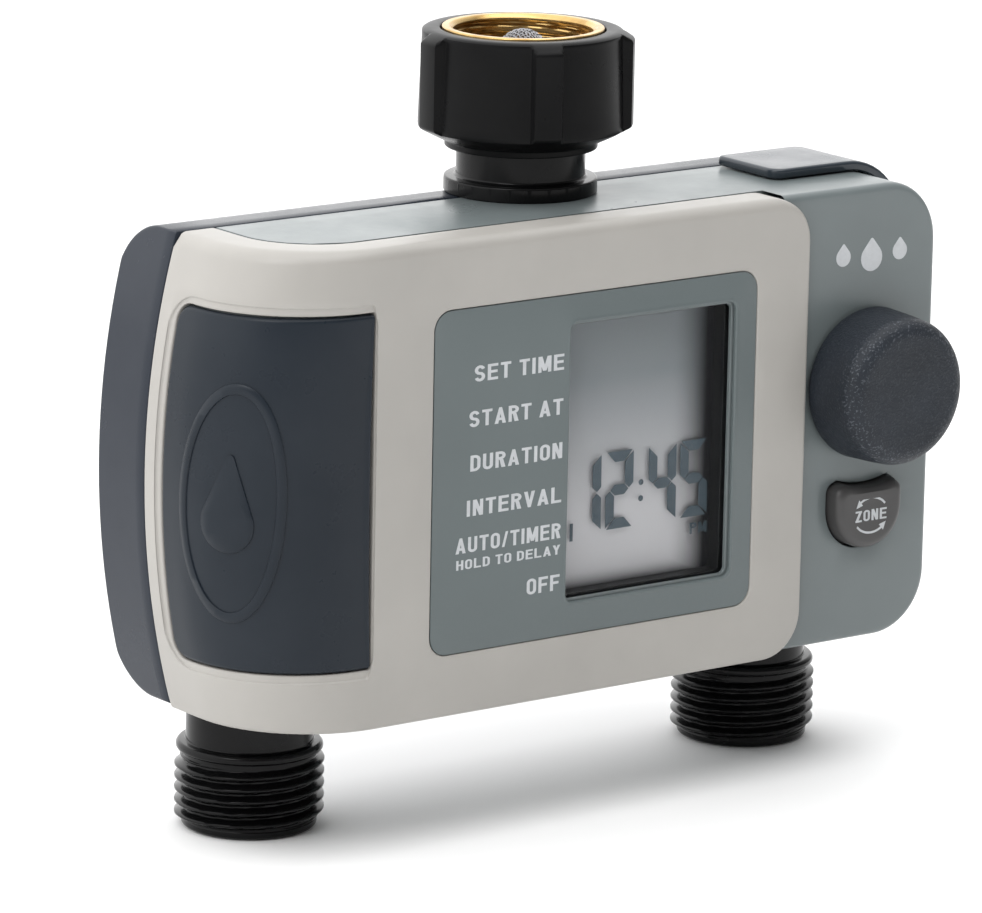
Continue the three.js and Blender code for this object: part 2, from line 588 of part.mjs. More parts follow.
function outletFitting(x) {
  const inward = -Math.sign(x);
  const ears = [x - inward * 6, x + inward * 15].sort((a, b) => a - b);
  const profile = [[OUTLET.boreR, OUTLET.endZ], [OUTLET.collarR, OUTLET.endZ]];
  for (let i = CRESTS - 1; i >= 0; i--) {
    const z = FIRST_CREST_Z - i * HOSE_PITCH;
    profile.push([OUTLET.rootR, z - HOSE_PITCH / 2], [OUTLET.crestR, z]);
  }
  profile.push([OUTLET.rootR, -127.5], [OUTLET.rootR, -126.2], [OUTLET.ringR, -126], [OUTLET.ringR, -124.3],
    [OUTLET.neckR, -124.3], [OUTLET.neckR, -111.9], [9.9, -111.9],
    [9.9, -112.7], [7.6, -112.7], [7.6, -111.9], [4.2, -111.9], [4.2, -114.5], [OUTLET.boreR, -118],
    [OUTLET.boreR, OUTLET.endZ]);
  const plate = box(ears, [-14, 7], [-113.1, -111.9]).subtract(rod(OUTLET.neckR - 0.5, -120, -100, x));
  return lathe(profile, x, 0, 24).add(plate);
}

function valveBonnet(x) {
  return lathe([[0, -73], [3.1, -73], [3.1, -96.9], [CHAMBER.r, -96.9], [CHAMBER.r, -100.1], [7.6, -100.1],
    [7.6, -98.9], [2.4, -98.9], [2.4, -74.4], [0, -74.4]], x);
}

function solenoidCoil(x) {
  const spool = ring(SOLENOID.boreR, SOLENOID.r, SOLENOID.bottomZ, SOLENOID.topZ, x);
  const winding = ring(SOLENOID.r - 0.5, SOLENOID.r + 1, SOLENOID.bottomZ + 1.6, SOLENOID.topZ - 1.6, x);
  return spool.subtract(winding);
}

// ---------------------------------------------------------------- assembly

add('rear_housing', rearHousing(), 'rearSlate');
add('front_housing', frontHousing(), 'grey');
add('front_bezel', frontBezel(), 'cream');
add('battery_cover', batteryCover(), 'slate');
add('corner_cap', cornerCap(), 'slate');

add('control_panel', controlPanel(), 'panel');
add('display_lens', extrudeY(framed(WINDOW, 1), BEZEL_Y + 1, BEZEL_Y + 1.9, 4), 'window');
add('display_glass', extrudeY(framed(WINDOW, 2.2), -29.2, -26.4, 1), 'display');
add('display_frame', displayFrame(), 'white');
add('contact_strip', box([-9, 22.4], [-26, BOARD.front - GAP], [-97.9, -95.9]), 'rubber');
add('circuit_board', circuitBoard(), 'board');
add('controller_chip', box([2, 14], [BOARD.back + GAP, -19], [-68, -56]), 'rubber');
add('clock_crystal', box([22, 32], [BOARD.back + GAP, -17.2], [-62, -58]), 'steel');
add('drive_capacitor', rodY(4, BOARD.back + GAP, -10.8, -30, -62, 16), 'coil');

add('encoder_body', encoderBody(), 'steel');
add('encoder_shaft', rodY(2.9, -40, -24.4, DIAL.x, DIAL.z, 16), 'steel');
add('selector_knob', selectorKnob(), 'knob');
add('station_button', stationButton(), 'button');
add('button_pad', rodY(4.5, -25, BOARD.front - GAP, BUTTON.x, BUTTON.z, 20), 'silicone');

add('battery_tray', batteryTray(), 'rubber');
CELL_AXES.forEach((axis, i) => {
  const up = i === 0;
  const [x, y] = axis;
  const springLow = up ? BAY.bottom + GAP : BAY.top - 3.9 + GAP;
  const plateLow = up ? BAY.top - 0.8 : BAY.bottom + GAP;
  add(`battery_${i + 1}`, roundCell(axis, up), 'cell');
  add(`contact_spring_${i + 1}`, coilSpring(x, y, springLow, springLow + 3, 3.4, 0.4, 2.5), 'steel');
  add(`contact_plate_${i + 1}`, box([x - 4, x + 4], [y - 4, y + 4], [plateLow, plateLow + 0.5]), 'steel');
});

add('valve_manifold', valveManifold(), 'black');
add('swivel_ring', ring(10.9, 13.4, -16.3, -14.9, 0, 0, 24), 'white');
add('inlet_nut', inletNut(), 'black');
add('inlet_thread_insert', threadInsert(), 'brass');
add('inlet_washer', ring(7.7, 12.3, -13.8, -11.6, 0, 0, 24), 'rubber');
add('inlet_filter', inletFilter(), 'steel');

OUTLET_X.forEach((x, i) => {
  const side = OUTLET_NAMES[i];
  add(`outlet_${side}`, outletFitting(x), 'black');
  add(`outlet_oring_${side}`, ring(7.9, 9.6, -112.4, -111.9, x, 0, 20), 'rubber');
  add(`diaphragm_${side}`, ring(4.5, 10.2, -101.7, -100.4, x, 0, 24), 'rubber');
  add(`valve_disc_${side}`, rod(4.2, -103.1, -101.1, x, 0, 20), 'rubber');
  add(`valve_bonnet_${side}`, valveBonnet(x), 'white');
  add(`plunger_${side}`, rod(2.1, -100.8, -84, x, 0, 16), 'steel');
  add(`plunger_spring_${side}`, coilSpring(x, 0, -83.7, -74.7, 1.6, 0.3, 5), 'steel');
  add(`solenoid_${side}`, solenoidCoil(x), 'coil');
});

REAR_SCREWS.forEach(([x, z], i) => {
  add(`rear_screw_${i + 1}`, screwAlongY(x, z, -10, REAR_Y - 2.9, 1, 2.9, 1.3), 'steel');
});
BOARD_SCREWS.forEach(([x, z], i) => {
  add(`board_screw_${i + 1}`, screwAlongY(x, z, BOARD.front - 4, BOARD.back + GAP, 1, 2.4, 0.95), 'steel');
});

export default timer;
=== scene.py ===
"""Looks of the two-outlet hose tap timer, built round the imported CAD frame.

Lengths inside the builders are millimetres and become metres when a piece is made.
The origin is the centre of the inlet mouth, +Z up, the front faces -Y.
"""

import json
import math

import bmesh
import bpy
import numpy as np
from mathutils import Matrix, Vector
from mathutils.geometry import delaunay_2d_cdt


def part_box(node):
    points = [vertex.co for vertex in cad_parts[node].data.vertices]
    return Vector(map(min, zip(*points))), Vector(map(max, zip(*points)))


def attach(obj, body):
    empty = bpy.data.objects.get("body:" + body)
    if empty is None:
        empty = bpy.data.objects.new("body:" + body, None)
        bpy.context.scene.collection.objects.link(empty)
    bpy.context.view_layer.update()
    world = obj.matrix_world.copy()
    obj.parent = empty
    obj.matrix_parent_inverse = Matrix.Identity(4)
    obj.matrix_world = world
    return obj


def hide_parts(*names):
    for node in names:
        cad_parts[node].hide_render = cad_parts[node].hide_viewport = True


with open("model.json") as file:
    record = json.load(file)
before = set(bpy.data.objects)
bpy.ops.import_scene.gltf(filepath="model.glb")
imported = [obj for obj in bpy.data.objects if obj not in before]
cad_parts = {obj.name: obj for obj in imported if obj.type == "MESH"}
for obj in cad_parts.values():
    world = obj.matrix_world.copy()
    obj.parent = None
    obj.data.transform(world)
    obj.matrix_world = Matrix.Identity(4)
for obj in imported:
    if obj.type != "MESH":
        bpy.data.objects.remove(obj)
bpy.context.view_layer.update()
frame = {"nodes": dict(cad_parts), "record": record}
MM = 0.001
TAU = 2 * math.pi

# ------------------------------------------------------------------ dimensions

TOP_Z, BOTTOM_Z = -30.1, -115.6
RIGHT_X, REAR_Y, FACE_Y = 73.8, 14.9, -30.1
CORNER_R = 11.5
REAR_R = 9.2
SIDE_X, BOW_R, BOW_Z = -81.7, 150.6, -73.8
END_R = 22.0
END_X, END_Y = SIDE_X + END_R, -9.8
BEZEL_Y = END_Y - END_R
BEZEL_BOTTOM = -116.2
BEZEL_RIGHT, BEZEL_CORNER = 42.6, 8.5
BEZEL_WRAP, BEZEL_WALL = 8.0, 1.9
EDGE_TOP, EDGE_SIDE = 2.3, 0.75        # soft top edge of the cream shell, tighter elsewhere
ARC_LENGTH = END_R * math.pi / 2
SEAM_U = END_Y - ARC_LENGTH            # wrap coordinate of the seam; 0 is where the flat front starts
PANEL = (-41.8, 30.2, -104.8, -42.6, 3.5)      # left, right, low, high, corner radius
WINDOW = (-12.0, 25.4, -98.9, -47.8, 1.6)
DIAL = Vector((57.7, 0, -66.75))
BUTTON_X, BUTTON_FOOT_Z, BUTTON_Y = 57.4, -90.0, -33.4
PITCH = 25.4 / 11.5
OUTLETS = (("left", -58.3), ("right", 55.0))
BAY_TOP, BAY_BOTTOM, BAY_RIGHT = -43.7, -102.3, -49.0


def bow(z):
    """How far the bowed left end stands back from its middle at height z."""
    return BOW_R - math.sqrt(BOW_R ** 2 - (z - BOW_Z) ** 2)


# ------------------------------------------------------------------ mesh helpers

class Skin:
    """Vertices and faces of one piece, in millimetres."""

    def __init__(self):
        self.points = []
        self.faces = []

    def ring(self, points):
        start = len(self.points)
        self.points.extend(tuple(p) for p in points)
        return list(range(start, len(self.points)))

    def bridge(self, a, b):
        for i in range(len(a)):
            j = (i + 1) % len(a)
            self.faces.append((a[i], a[j], b[j], b[i]))

    def stack(self, rings):
        for a, b in zip(rings, rings[1:]):
            self.bridge(a, b)

    def loft(self, levels, at):
        """A ring for each (outline, depth) level, joined in order. at(depth) puts 2D points in space."""
        rings = [self.ring([at(depth)(*p) for p in outline]) for outline, depth in levels]
        self.stack(rings)
        return rings

    def turn(self, profile, sides, axis="Z", centre=(0, 0, 0)):
        """Rings of a profile of (radius, place on the axis) about an axis through centre, joined."""
        angles = [TAU * i / sides for i in range(sides)]
        rings = []
        for r, h in profile:
            r = max(r, 0.001)
            flat = [(r * math.cos(a), r * math.sin(a)) for a in angles]
            if axis == "Z":
                rings.append(self.ring([(centre[0] + a, centre[1] + b, h) for a, b in flat]))
            else:
                rings.append(self.ring([(centre[0] + a, h, centre[2] + b) for a, b in flat]))
        self.stack(rings)
        return rings

    def fill(self, loops, flats, place, inner=()):
        """Triangles between the first loop and the others. flats are the loops' 2D points."""
        coords, known, edges = [], [], []
        for loop, flat in zip(loops, flats):
            base = len(coords)
            coords.extend(Vector(p) for p in flat)
            known.extend(loop)
            edges.extend((base + i, base + (i + 1) % len(loop)) for i in range(len(loop)))
        if len(inner):
            kept = [p for p in inner if clear_of(p, flats)]
            coords.extend(Vector(p) for p in kept)
            known.extend(self.ring([place(*p) for p in kept]))
        out, _, tris, origin, _, _ = delaunay_2d_cdt(coords, edges, [], 1, 1e-5, True)
        index = [known[o[0]] if o else self.ring([place(*v)])[0] for v, o in zip(out, origin)]
        for tri in tris:
            centre = sum((out[i] for i in tri), Vector((0, 0))) / 3
            if not any(inside(centre, f) for f in flats[1:]):
                self.faces.append(tuple(index[i] for i in tri))

    def mesh(self, name, merge=1e-7):
        """The skin's mesh in metres, its coincident points joined and its faces turned outwards."""
        mesh = bpy.data.meshes.new(name)
        mesh.from_pydata([Vector(p) * MM for p in self.points], [], self.faces)
        bm = bmesh.new()
        bm.from_mesh(mesh)
        bmesh.ops.remove_doubles(bm, verts=bm.verts, dist=merge)
        bmesh.ops.delete(bm, geom=[v for v in bm.verts if not v.link_faces], context="VERTS")
        bmesh.ops.recalc_face_normals(bm, faces=bm.faces)
        bm.to_mesh(mesh)
        bm.free()
        return mesh


def inside(p, loop):
    pts = np.asarray(loop, float)
    nxt = np.roll(pts, -1, axis=0)
    crosses = (pts[:, 1] > p[1]) != (nxt[:, 1] > p[1])
    rise = np.where(nxt[:, 1] == pts[:, 1], 1e-12, nxt[:, 1] - pts[:, 1])
    at = pts[:, 0] + (p[1] - pts[:, 1]) * (nxt[:, 0] - pts[:, 0]) / rise
    return bool(np.count_nonzero(crosses & (p[0] < at)) % 2)


def clear_of(p, flats, margin=0.7):
    """True inside the first loop, outside the others and a margin away from all of them."""
    if not inside(p, flats[0]) or any(inside(p, f) for f in flats[1:]):
        return False
    for f in flats:
        pts = np.asarray(f, float)
        along = np.roll(pts, -1, axis=0) - pts
        to = np.asarray(p) - pts
        t = np.clip((to * along).sum(1) / np.maximum((along ** 2).sum(1), 1e-12), 0, 1)
        if np.min(np.linalg.norm(to - along * t[:, None], axis=1)) < margin:
            return False
    return True


def linked(name, data):
    obj = bpy.data.objects.new(name, data)
    bpy.context.scene.collection.objects.link(obj)
    return obj


def piece(name, skin, material, body, replaces=(), sharp=35):
    """Makes the Blender object of a skin and lets it ride on a CAD body."""
    mesh = skin.mesh(name)
    mesh.shade_smooth()
    mesh.set_sharp_from_angle(angle=math.radians(sharp))
    mesh.materials.append(M[material])
    obj = linked(name, mesh)
    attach(obj, body)
    if replaces:
        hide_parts(*replaces)
    return obj


def level(place):
    """place(a, b, depth) as a function of depth that gives a function of a and b."""
    return lambda depth: lambda a, b: place(a, b, depth)


facing = level(lambda x, z, y: (x, y, z))


def arc(cx, cy, r, start, end, count):
    """Points on an arc, angles in degrees, both ends included."""
    angles = [math.radians(start + (end - start) * i / count) for i in range(count + 1)]
    return [(cx + r * math.cos(a), cy + r * math.sin(a)) for a in angles]


def line(a, b, step):
    """Points from a up to but not including b."""
    count = max(1, round(math.dist(a, b) / step))
    return [(a[0] + (b[0] - a[0]) * i / count, a[1] + (b[1] - a[1]) * i / count) for i in range(count)]


def between(a, b, count):
    """The points that cut the line from a to b in count equal parts, without its ends."""
    return [(a[0] + (b[0] - a[0]) * k / count, a[1] + (b[1] - a[1]) * k / count) for k in range(1, count)]


def rounded(left, right, low, high, radii, inset=0.0, step=3.0, count=8):
    """Rounded rectangle, counter-clockwise; radii are left-top, right-top, right-low, left-low."""
    if not isinstance(radii, (tuple, list)):
        radii = (radii,) * 4
    lt, rt, rl, ll = [max(r - inset, 0.02) for r in radii]
    left, right, low, high = left + inset, right - inset, low + inset, high - inset
    sides = [
        arc(left + ll, low + ll, ll, 180, 270, count), arc(right - rl, low + rl, rl, 270, 360, count),
        arc(right - rt, high - rt, rt, 0, 90, count), arc(left + lt, high - lt, lt, 90, 180, count),
    ]
    # straight stretches keep one count of points whatever the inset is
    base = [(right - left) + 2 * inset, (high - low) + 2 * inset] * 2
    points = []
    for i, side in enumerate(sides):
        points += side
        end = sides[(i + 1) % 4][0]
        points += between(side[-1], end, max(1, round(base[i] / step)))
    return points


def bend(r, count=5):
    """(inset, drop) pairs round an edge of radius r, from the wall to the face."""
    angles = [math.pi / 2 * i / count for i in range(count + 1)]
    return [(r * (1 - math.cos(a)), r * (1 - math.sin(a))) for a in angles]


def grid(left, right, low, high, du, dv):
    us = np.arange(left + du / 2, right, du)
    vs = np.arange(low + dv / 2, high, dv)
    return [(u, v) for u in us for v in vs]


def lathe(profile, sides=96, centre=(0, 0, 0)):
    """A skin turned about a vertical axis."""
    skin = Skin()
    skin.turn(profile, sides, "Z", centre)
    return skin


def soft(profile, r=0.3, count=3):
    """Rounds the corners of an open profile of (radius, height) points."""
    out = [profile[0]]
    for before, here, after in zip(profile, profile[1:], profile[2:]):
        a, b, c = Vector(before), Vector(here), Vector(after)
        reach = min(r, (a - b).length / 2.2, (c - b).length / 2.2)
        start = b + (a - b).normalized() * reach
        end = b + (c - b).normalized() * reach
        for i in range(count + 1):
            t = i / count
            p = start * (1 - t) ** 2 + b * 2 * t * (1 - t) + end * t ** 2
            out.append((p.x, p.y))
    out.append(profile[-1])
    return out


# ------------------------------------------------------------------ materials

def linear(value):
    """Linear colour of an sRGB triple from 0 to 255."""
    channel = [v / 255 for v in value]
    return tuple(v / 12.92 if v <= 0.04045 else ((v + 0.055) / 1.055) ** 2.4 for v in channel) + (1.0,)


def shade(colour, factor, lift=0.0):
    """A linear colour made darker or lighter."""
    return tuple(min(1, c * factor + lift) for c in colour[:3]) + (1.0,)


class Nodes:
    """Short way to write a node tree."""

    def __init__(self, name):
        self.material = bpy.data.materials.new(name)
        self.material.use_nodes = True
        self.tree = self.material.node_tree
        self.shader = self.tree.nodes["Principled BSDF"]
        self.space = self.add("ShaderNodeTexCoord").outputs["Object"]

    def add(self, kind, inputs=(), **settings):
        node = self.tree.nodes.new(kind)
        for key, value in settings.items():
            setattr(node, key, value)
        for key, value in dict(inputs).items():
            if isinstance(value, bpy.types.NodeSocket):
                self.tree.links.new(value, node.inputs[key])
            else:
                node.inputs[key].default_value = value
        return node

    def noise(self, scale, detail=3.0, roughness=0.55, vector=None):
        """Fractal noise from 0 to 1; scale counts its cells per metre."""
        return self.add("ShaderNodeTexNoise", {
            "Vector": vector or self.space, "Scale": scale, "Detail": detail, "Roughness": roughness,
        }).outputs["Fac"]

    def patches(self, scale, detail, a, b):
        """Soft patches of two colours."""
        return self.mix(self.spread(self.noise(scale, detail), 0, 1), a, b)

    def spread(self, value, low, high, start=0.3, end=0.7):
        """The value's start to end range mapped on low to high."""
        return self.add("ShaderNodeMapRange", {
            "Value": value, "From Min": start, "From Max": end, "To Min": low, "To Max": high,
        }).outputs["Result"]

    def mix(self, factor, a, b):
        return self.add("ShaderNodeMix", {0: factor, 6: a, 7: b}, data_type="RGBA").outputs[2]

    def math(self, operation, a, b):
        return self.add("ShaderNodeMath", {0: a, 1: b}, operation=operation).outputs[0]

    def bump(self, height, distance, strength=1.0):
        inputs = {"Height": height, "Distance": distance, "Strength": strength}
        return self.add("ShaderNodeBump", inputs).outputs["Normal"]

    def stretched(self, *scale):
        return self.add("ShaderNodeMapping", {"Vector": self.space, "Scale": scale}).outputs["Vector"]

    def set(self, **values):
        for key, value in values.items():
            socket = self.shader.inputs[key.replace("_", " ")]
            if isinstance(value, bpy.types.NodeSocket):
                self.tree.links.new(value, socket)
            else:
                socket.default_value = value
        return self.material


def moulded(name, colour, roughness, grain=0.012, grain_scale=2600, dust=0.05, specular=0.5):
    """Injection-moulded plastic: fine spark-eroded grain, faint flow and handling marks."""
    n = Nodes(name)
    base = linear(colour)
    tint = n.patches(34, 4, shade(base, 1 - dust), shade(base, 1 + dust, 0.006))
    rough = n.math("ADD", n.spread(n.noise(70, 5, 0.65), -0.05, 0.06), roughness)
    grained = n.bump(n.noise(grain_scale, 2), grain * MM)
    return n.set(Base_Color=tint, Roughness=rough, Normal=grained, Specular_IOR_Level=specular)


def knob_rubber(name, colour):
    """Coarse textured soft-touch plastic with pale flecks, a few all over and most of them round the front
    rim, where they are painted glints of light.
    """
    n = Nodes(name)
    base = linear(colour)
    grains = n.noise(2300, 2, 0.6)
    clouds = n.patches(90, 4, shade(base, 0.85), shade(base, 1.2))
    place = n.add("ShaderNodeSeparateXYZ", {"Vector": n.space}).outputs
    across, along = [n.math("POWER", n.math("SUBTRACT", place[axis], middle * MM), 2.0)
                     for axis, middle in (("X", DIAL.x), ("Z", DIAL.z))]
    away = n.math("POWER", n.math("ADD", across, along), 0.5)
    # painted highlight: the pale flecks gather round the front rim as glints of light
    forward = n.spread(place["Y"], 0, 1, -0.0385, -0.0415)
    rim = n.math("MULTIPLY", n.spread(away, 0, 1, 0.0095, 0.0125), forward)
    speck_and_glint_amount = n.math("ADD", n.math("MULTIPLY", rim, 0.34), 0.07)
    specks_and_rim_glints = n.math("MULTIPLY", n.spread(grains, 0, 1, 0.56, 0.66), speck_and_glint_amount)
    return n.set(Base_Color=n.mix(specks_and_rim_glints, clouds, shade(base, 4, 0.12)), Normal=n.bump(grains, 0.16 * MM),
                 Roughness=n.spread(n.noise(800, 3), 0.42, 0.58), Specular_IOR_Level=0.3)


def brass(name):
    """Turned brass: fine rings from the lathe, slight tarnish in the hollows."""
    n = Nodes(name)
    rings = n.noise(260, 3, 0.6, n.stretched(1.0, 1.0, 30.0))
    tarnish = n.spread(n.noise(140, 4, 0.6), 0, 1, 0.45, 0.75)
    tint = n.mix(tarnish, linear((206, 174, 116)), linear((150, 112, 58)))
    return n.set(Base_Color=tint, Roughness=n.spread(rings, 0.20, 0.36), Metallic=1.0,
                 Normal=n.bump(rings, 0.02 * MM, 0.6))


def steel(name, colour=(198, 200, 204), low=0.2, high=0.4):
    """Plated steel with fine scratches."""
    n = Nodes(name)
    marks = n.noise(420, 4, 0.6, n.stretched(1.0, 14.0, 2.0))
    tint = n.patches(200, 3, linear(colour), linear([c * 0.86 for c in colour]))
    return n.set(Base_Color=tint, Roughness=n.spread(marks, low, high), Metallic=1.0,
                 Normal=n.bump(marks, 0.008 * MM, 0.6))


def printed(name, colour, roughness=0.5):
    """Screen-printed ink with a slightly uneven lay."""
    n = Nodes(name)
    base = linear(colour)
    return n.set(Base_Color=n.patches(900, 3, shade(base, 0.9), base),
                 Roughness=n.spread(n.noise(1500, 2), roughness - 0.08, roughness + 0.08),
                 Normal=n.bump(n.noise(2200, 2), 0.004 * MM, 0.5))


def film(name, colour):
    """Fine matt overlay film on the control panel."""
    n = Nodes(name)
    base = linear(colour)
    return n.set(Base_Color=n.patches(28, 3, shade(base, 0.96), shade(base, 1.04)),
                 Roughness=n.spread(n.noise(1200, 2), 0.38, 0.5),
                 Normal=n.bump(n.noise(3200, 2), 0.006 * MM, 0.8))


def lens(name):
    """Clear moulded window; only its gloss shows."""
    n = Nodes(name)
    return n.set(Base_Color=linear((40, 44, 46)), Alpha=0.06, Specular_IOR_Level=0.5,
                 Roughness=n.spread(n.noise(60, 4), 0.02, 0.09))


def reflector(name):
    """Grey display background: fine film with faint mottling, painted light that makes it lighter towards the
    bottom, and painted shade of its deep frame darkening it towards the right and bottom edges.
    """
    n = Nodes(name)
    place = n.add("ShaderNodeSeparateXYZ", {"Vector": n.space}).outputs
    # painted light: the background is lighter towards the bottom and darker towards the top
    height = n.spread(place["Z"], 0, 1, -0.085, -0.060)
    film = n.mix(height, linear((205, 205, 208)), linear((137, 143, 147)))
    mottle_and_painted_light = n.mix(n.math("MULTIPLY", n.spread(n.noise(130, 3), 0, 1), 0.06), film, linear((176, 180, 180)))
    # painted shade of the deep frame: the background darkens towards its right and bottom edges
    right = n.math("POWER", n.spread(place["X"], 0, 1, 0.0150, 0.0232), 1.6)
    low = n.math("POWER", n.spread(place["Z"], 1, 0, -0.0985, -0.0945), 2.2)
    dark = n.mix(n.math("MAXIMUM", right, low), mottle_and_painted_light, linear((24, 24, 27)))
    return n.set(Base_Color=dark, Specular_IOR_Level=0.25, Roughness=n.spread(n.noise(90, 2), 0.42, 0.5))


M = {
    "cream": moulded("cream plastic", (165, 162, 157), 0.40, grain=0.006),
    "grey": moulded("grey plastic", (106, 114, 115), 0.32, grain=0.008),
    "slate": moulded("slate plastic", (27, 34, 42), 0.30, grain=0.008, dust=0.05, specular=0.2),
    "rear": moulded("rear plastic", (33, 39, 49), 0.24, grain=0.006, dust=0.05, specular=0.25),
    "cap": moulded("cap plastic", (44, 52, 60), 0.24, grain=0.010, dust=0.07),
    "black": moulded("black plastic", (8, 8, 9), 0.16, grain=0.0015, dust=0.04, specular=0.16),
    "nut": moulded("nut plastic", (8, 8, 9), 0.30, grain=0.006, dust=0.05, specular=0.09),
    "inner": moulded("inner plastic", (38, 40, 43), 0.45, grain=0.012),
    "white": moulded("white plastic", (206, 205, 200), 0.45),
    # nearly black, partly as painted shade of the deep display window
    "frame": moulded("frame plastic", (11, 12, 14), 0.35, grain=0.004, specular=0.3),
    "button": moulded("button plastic", (63, 62, 62), 0.42, grain=0.012, dust=0.05),
    "rubber": moulded("rubber", (34, 35, 37), 0.62, grain=0.02, grain_scale=1800),
    "silicone": moulded("silicone", (150, 152, 154), 0.55),
    "coil": moulded("coil tape", (46, 48, 58), 0.4),
    "knob": knob_rubber("knob texture", (34, 39, 46)),
    "panel": film("panel film", (94, 103, 104)),
    "ink": printed("white ink", (196, 199, 202)),
    "segments": printed("display segments", (66, 82, 92), 0.4),
    "lens": lens("window"),
    "reflector": reflector("display reflector"),
    "brass": brass("brass"),
    "steel": steel("plated steel"),
    "wire": steel("mesh wire", (168, 168, 172), 0.2, 0.36),
    "board": moulded("solder mask", (34, 92, 58), 0.3, grain=0.02, grain_scale=900, dust=0.12),
    "cell": moulded("cell wrap", (60, 74, 96), 0.28, grain=0.004, dust=0.08),
}


# ------------------------------------------------------------------ shells

def wrap(u, z, depth):
    """A point on the wrapped outside: u runs from the seam on the left end round to the front."""
    shift = bow(z)
    if u < -ARC_LENGTH:
        return (SIDE_X + shift + depth, END_Y - (u + ARC_LENGTH), z)
    if u < 0:
        angle = (u + ARC_LENGTH) / END_R
        r = END_R - depth
        return (END_X + shift - r * math.cos(angle), END_Y - r * math.sin(angle), z)
    fade = max(0.0, 1 - u / max(5.3, 1.45 * shift))
    return (END_X + u + shift * fade, BEZEL_Y + depth, z)


def wrap_u(x):
    """Wrap coordinate of a place on the flat front."""
    return x - END_X


wrapped = level(wrap)
COVER_U = (SEAM_U + 5.0, wrap_u(-54.4))
COVER_Z = (-105.2, -41.2)


def drop_at(distance, r):
    """Depth of a rounded edge at a distance from it."""
    if distance >= r:
        return 0.0
    return r - math.sqrt(max(r * r - (r - distance) ** 2, 0.0))


def bezel_outline(inset):
    return rounded(SEAM_U + 0.15, wrap_u(BEZEL_RIGHT), BEZEL_BOTTOM, TOP_Z,
                   (0.4, BEZEL_CORNER, BEZEL_CORNER, 0.4), inset, 2.2, 12)


def bezel_drop(u, z):
    """Depth of the soft edges of the cream shell at a place on its face."""
    side, top, low = wrap_u(BEZEL_RIGHT) - u, TOP_Z - z, z - BEZEL_BOTTOM
    if side < BEZEL_CORNER and min(top, low) < BEZEL_CORNER:
        across, along = BEZEL_CORNER - side, BEZEL_CORNER - min(top, low)
        turn = min(1.0, math.atan2(across, along) / math.pi * 3.2) if top < low else 1.0
        edge = EDGE_TOP + (EDGE_SIDE - EDGE_TOP) * turn * turn * (3 - 2 * turn)
        drop = drop_at(max(BEZEL_CORNER - math.hypot(across, along), 0.0), edge)
    else:
        drop = max(drop_at(max(top, 0.0), EDGE_TOP), drop_at(max(low, 0.0), EDGE_SIDE),
                   drop_at(max(side, 0.0), EDGE_SIDE))
    return min(drop + drop_at(max(u - SEAM_U - 0.15, 0.0), 0.6), EDGE_TOP)


def cover_hole(grow):
    """Opening for the battery cover; the rim round it is narrow on the right."""
    return rounded(COVER_U[0], COVER_U[1] - 0.8 * grow, COVER_Z[0], COVER_Z[1],
                   (3.6 + grow, 1.0 + grow, 1.0 + grow, 3.6 + grow), -grow, 2.2, 8)


def wrap_area(area, grow, count):
    """Rounded opening in the cream shell for an area of the flat front."""
    left, right, low, high, r = area
    return rounded(wrap_u(left), wrap_u(right), low, high, r, -grow, 3.0, count)


def front_bezel():
    skin = Skin()
    flats = [bezel_outline(i) for i in (0, 0.04, 0.12, 0.25, 0.42, 0.62, 0.85, 1.15, 1.5, 1.9, 2.3, 3.4)]
    rings = skin.loft([(flat, 0) for flat in flats], level(lambda u, z, _: wrap(u, z, bezel_drop(u, z))))

    # the wrap over the top, bottom and seam, with a soft inner edge, then back up inside
    soft_r = 0.4
    edge = BEZEL_WRAP - soft_r
    levels = [(0, 4), (0, 6), (0, edge)]
    levels += [(soft_r * (1 - math.sqrt(1 - t * t)), edge + soft_r * t) for t in (0.5, 1.0)]
    levels += [(BEZEL_WALL, BEZEL_WRAP), (BEZEL_WALL, BEZEL_WALL)]
    down = skin.loft([(bezel_outline(inset), depth) for inset, depth in levels], wrapped)
    skin.bridge(rings[0], down[0])

    # rebate round the battery cover: outer edge, shallow step, rim, wall
    cover = [(cover_hole(grow), depth) for grow, depth in (
        (1.75, 0.0), (1.6, 0.04), (1.45, 0.18), (1.35, 0.34), (1.15, 0.42), (0.45, 0.42), (0.22, 0.47),
        (0.08, 0.6), (0.02, 0.8), (0.0, BEZEL_WALL))]
    cover_rings = skin.loft(cover, wrapped)

    # recess for the control panel with its window
    floor = 0.75
    panel = [(wrap_area(PANEL, grow + 0.12, 8), depth) for grow, depth in (
        (0.35, 0.0), (0.18, 0.05), (0.05, 0.18), (0.0, 0.35), (0.0, floor))]
    panel_rings = skin.loft(panel, wrapped)
    window = wrap_area(WINDOW, 0.6, 6)
    window_rings = skin.loft([(window, floor), (window, BEZEL_WALL)], wrapped)
    skin.fill([panel_rings[-1], window_rings[0]], [panel[-1][0], window], wrapped(floor))

    around = grid(SEAM_U, 0, BEZEL_BOTTOM, TOP_Z, 1.5, 4)
    around += grid(0, wrap_u(BEZEL_RIGHT), BEZEL_BOTTOM, TOP_Z, 5, 5)
    skin.fill([rings[-1], cover_rings[0], panel_rings[0]], [flats[-1], cover[0][0], panel[0][0]],
              wrapped(0), around)
    skin.fill([down[-1], cover_rings[-1], window_rings[1]], [bezel_outline(BEZEL_WALL), cover[-1][0], window],
              wrapped(BEZEL_WALL), around)
    piece("front_bezel_shell", skin, "cream", "housing", ["front_bezel"], 40)


def ellipse(cx, cz, a, b, count=72):
    return [(cx + a * math.cos(TAU * i / count), cz + b * math.sin(TAU * i / count)) for i in range(count)]


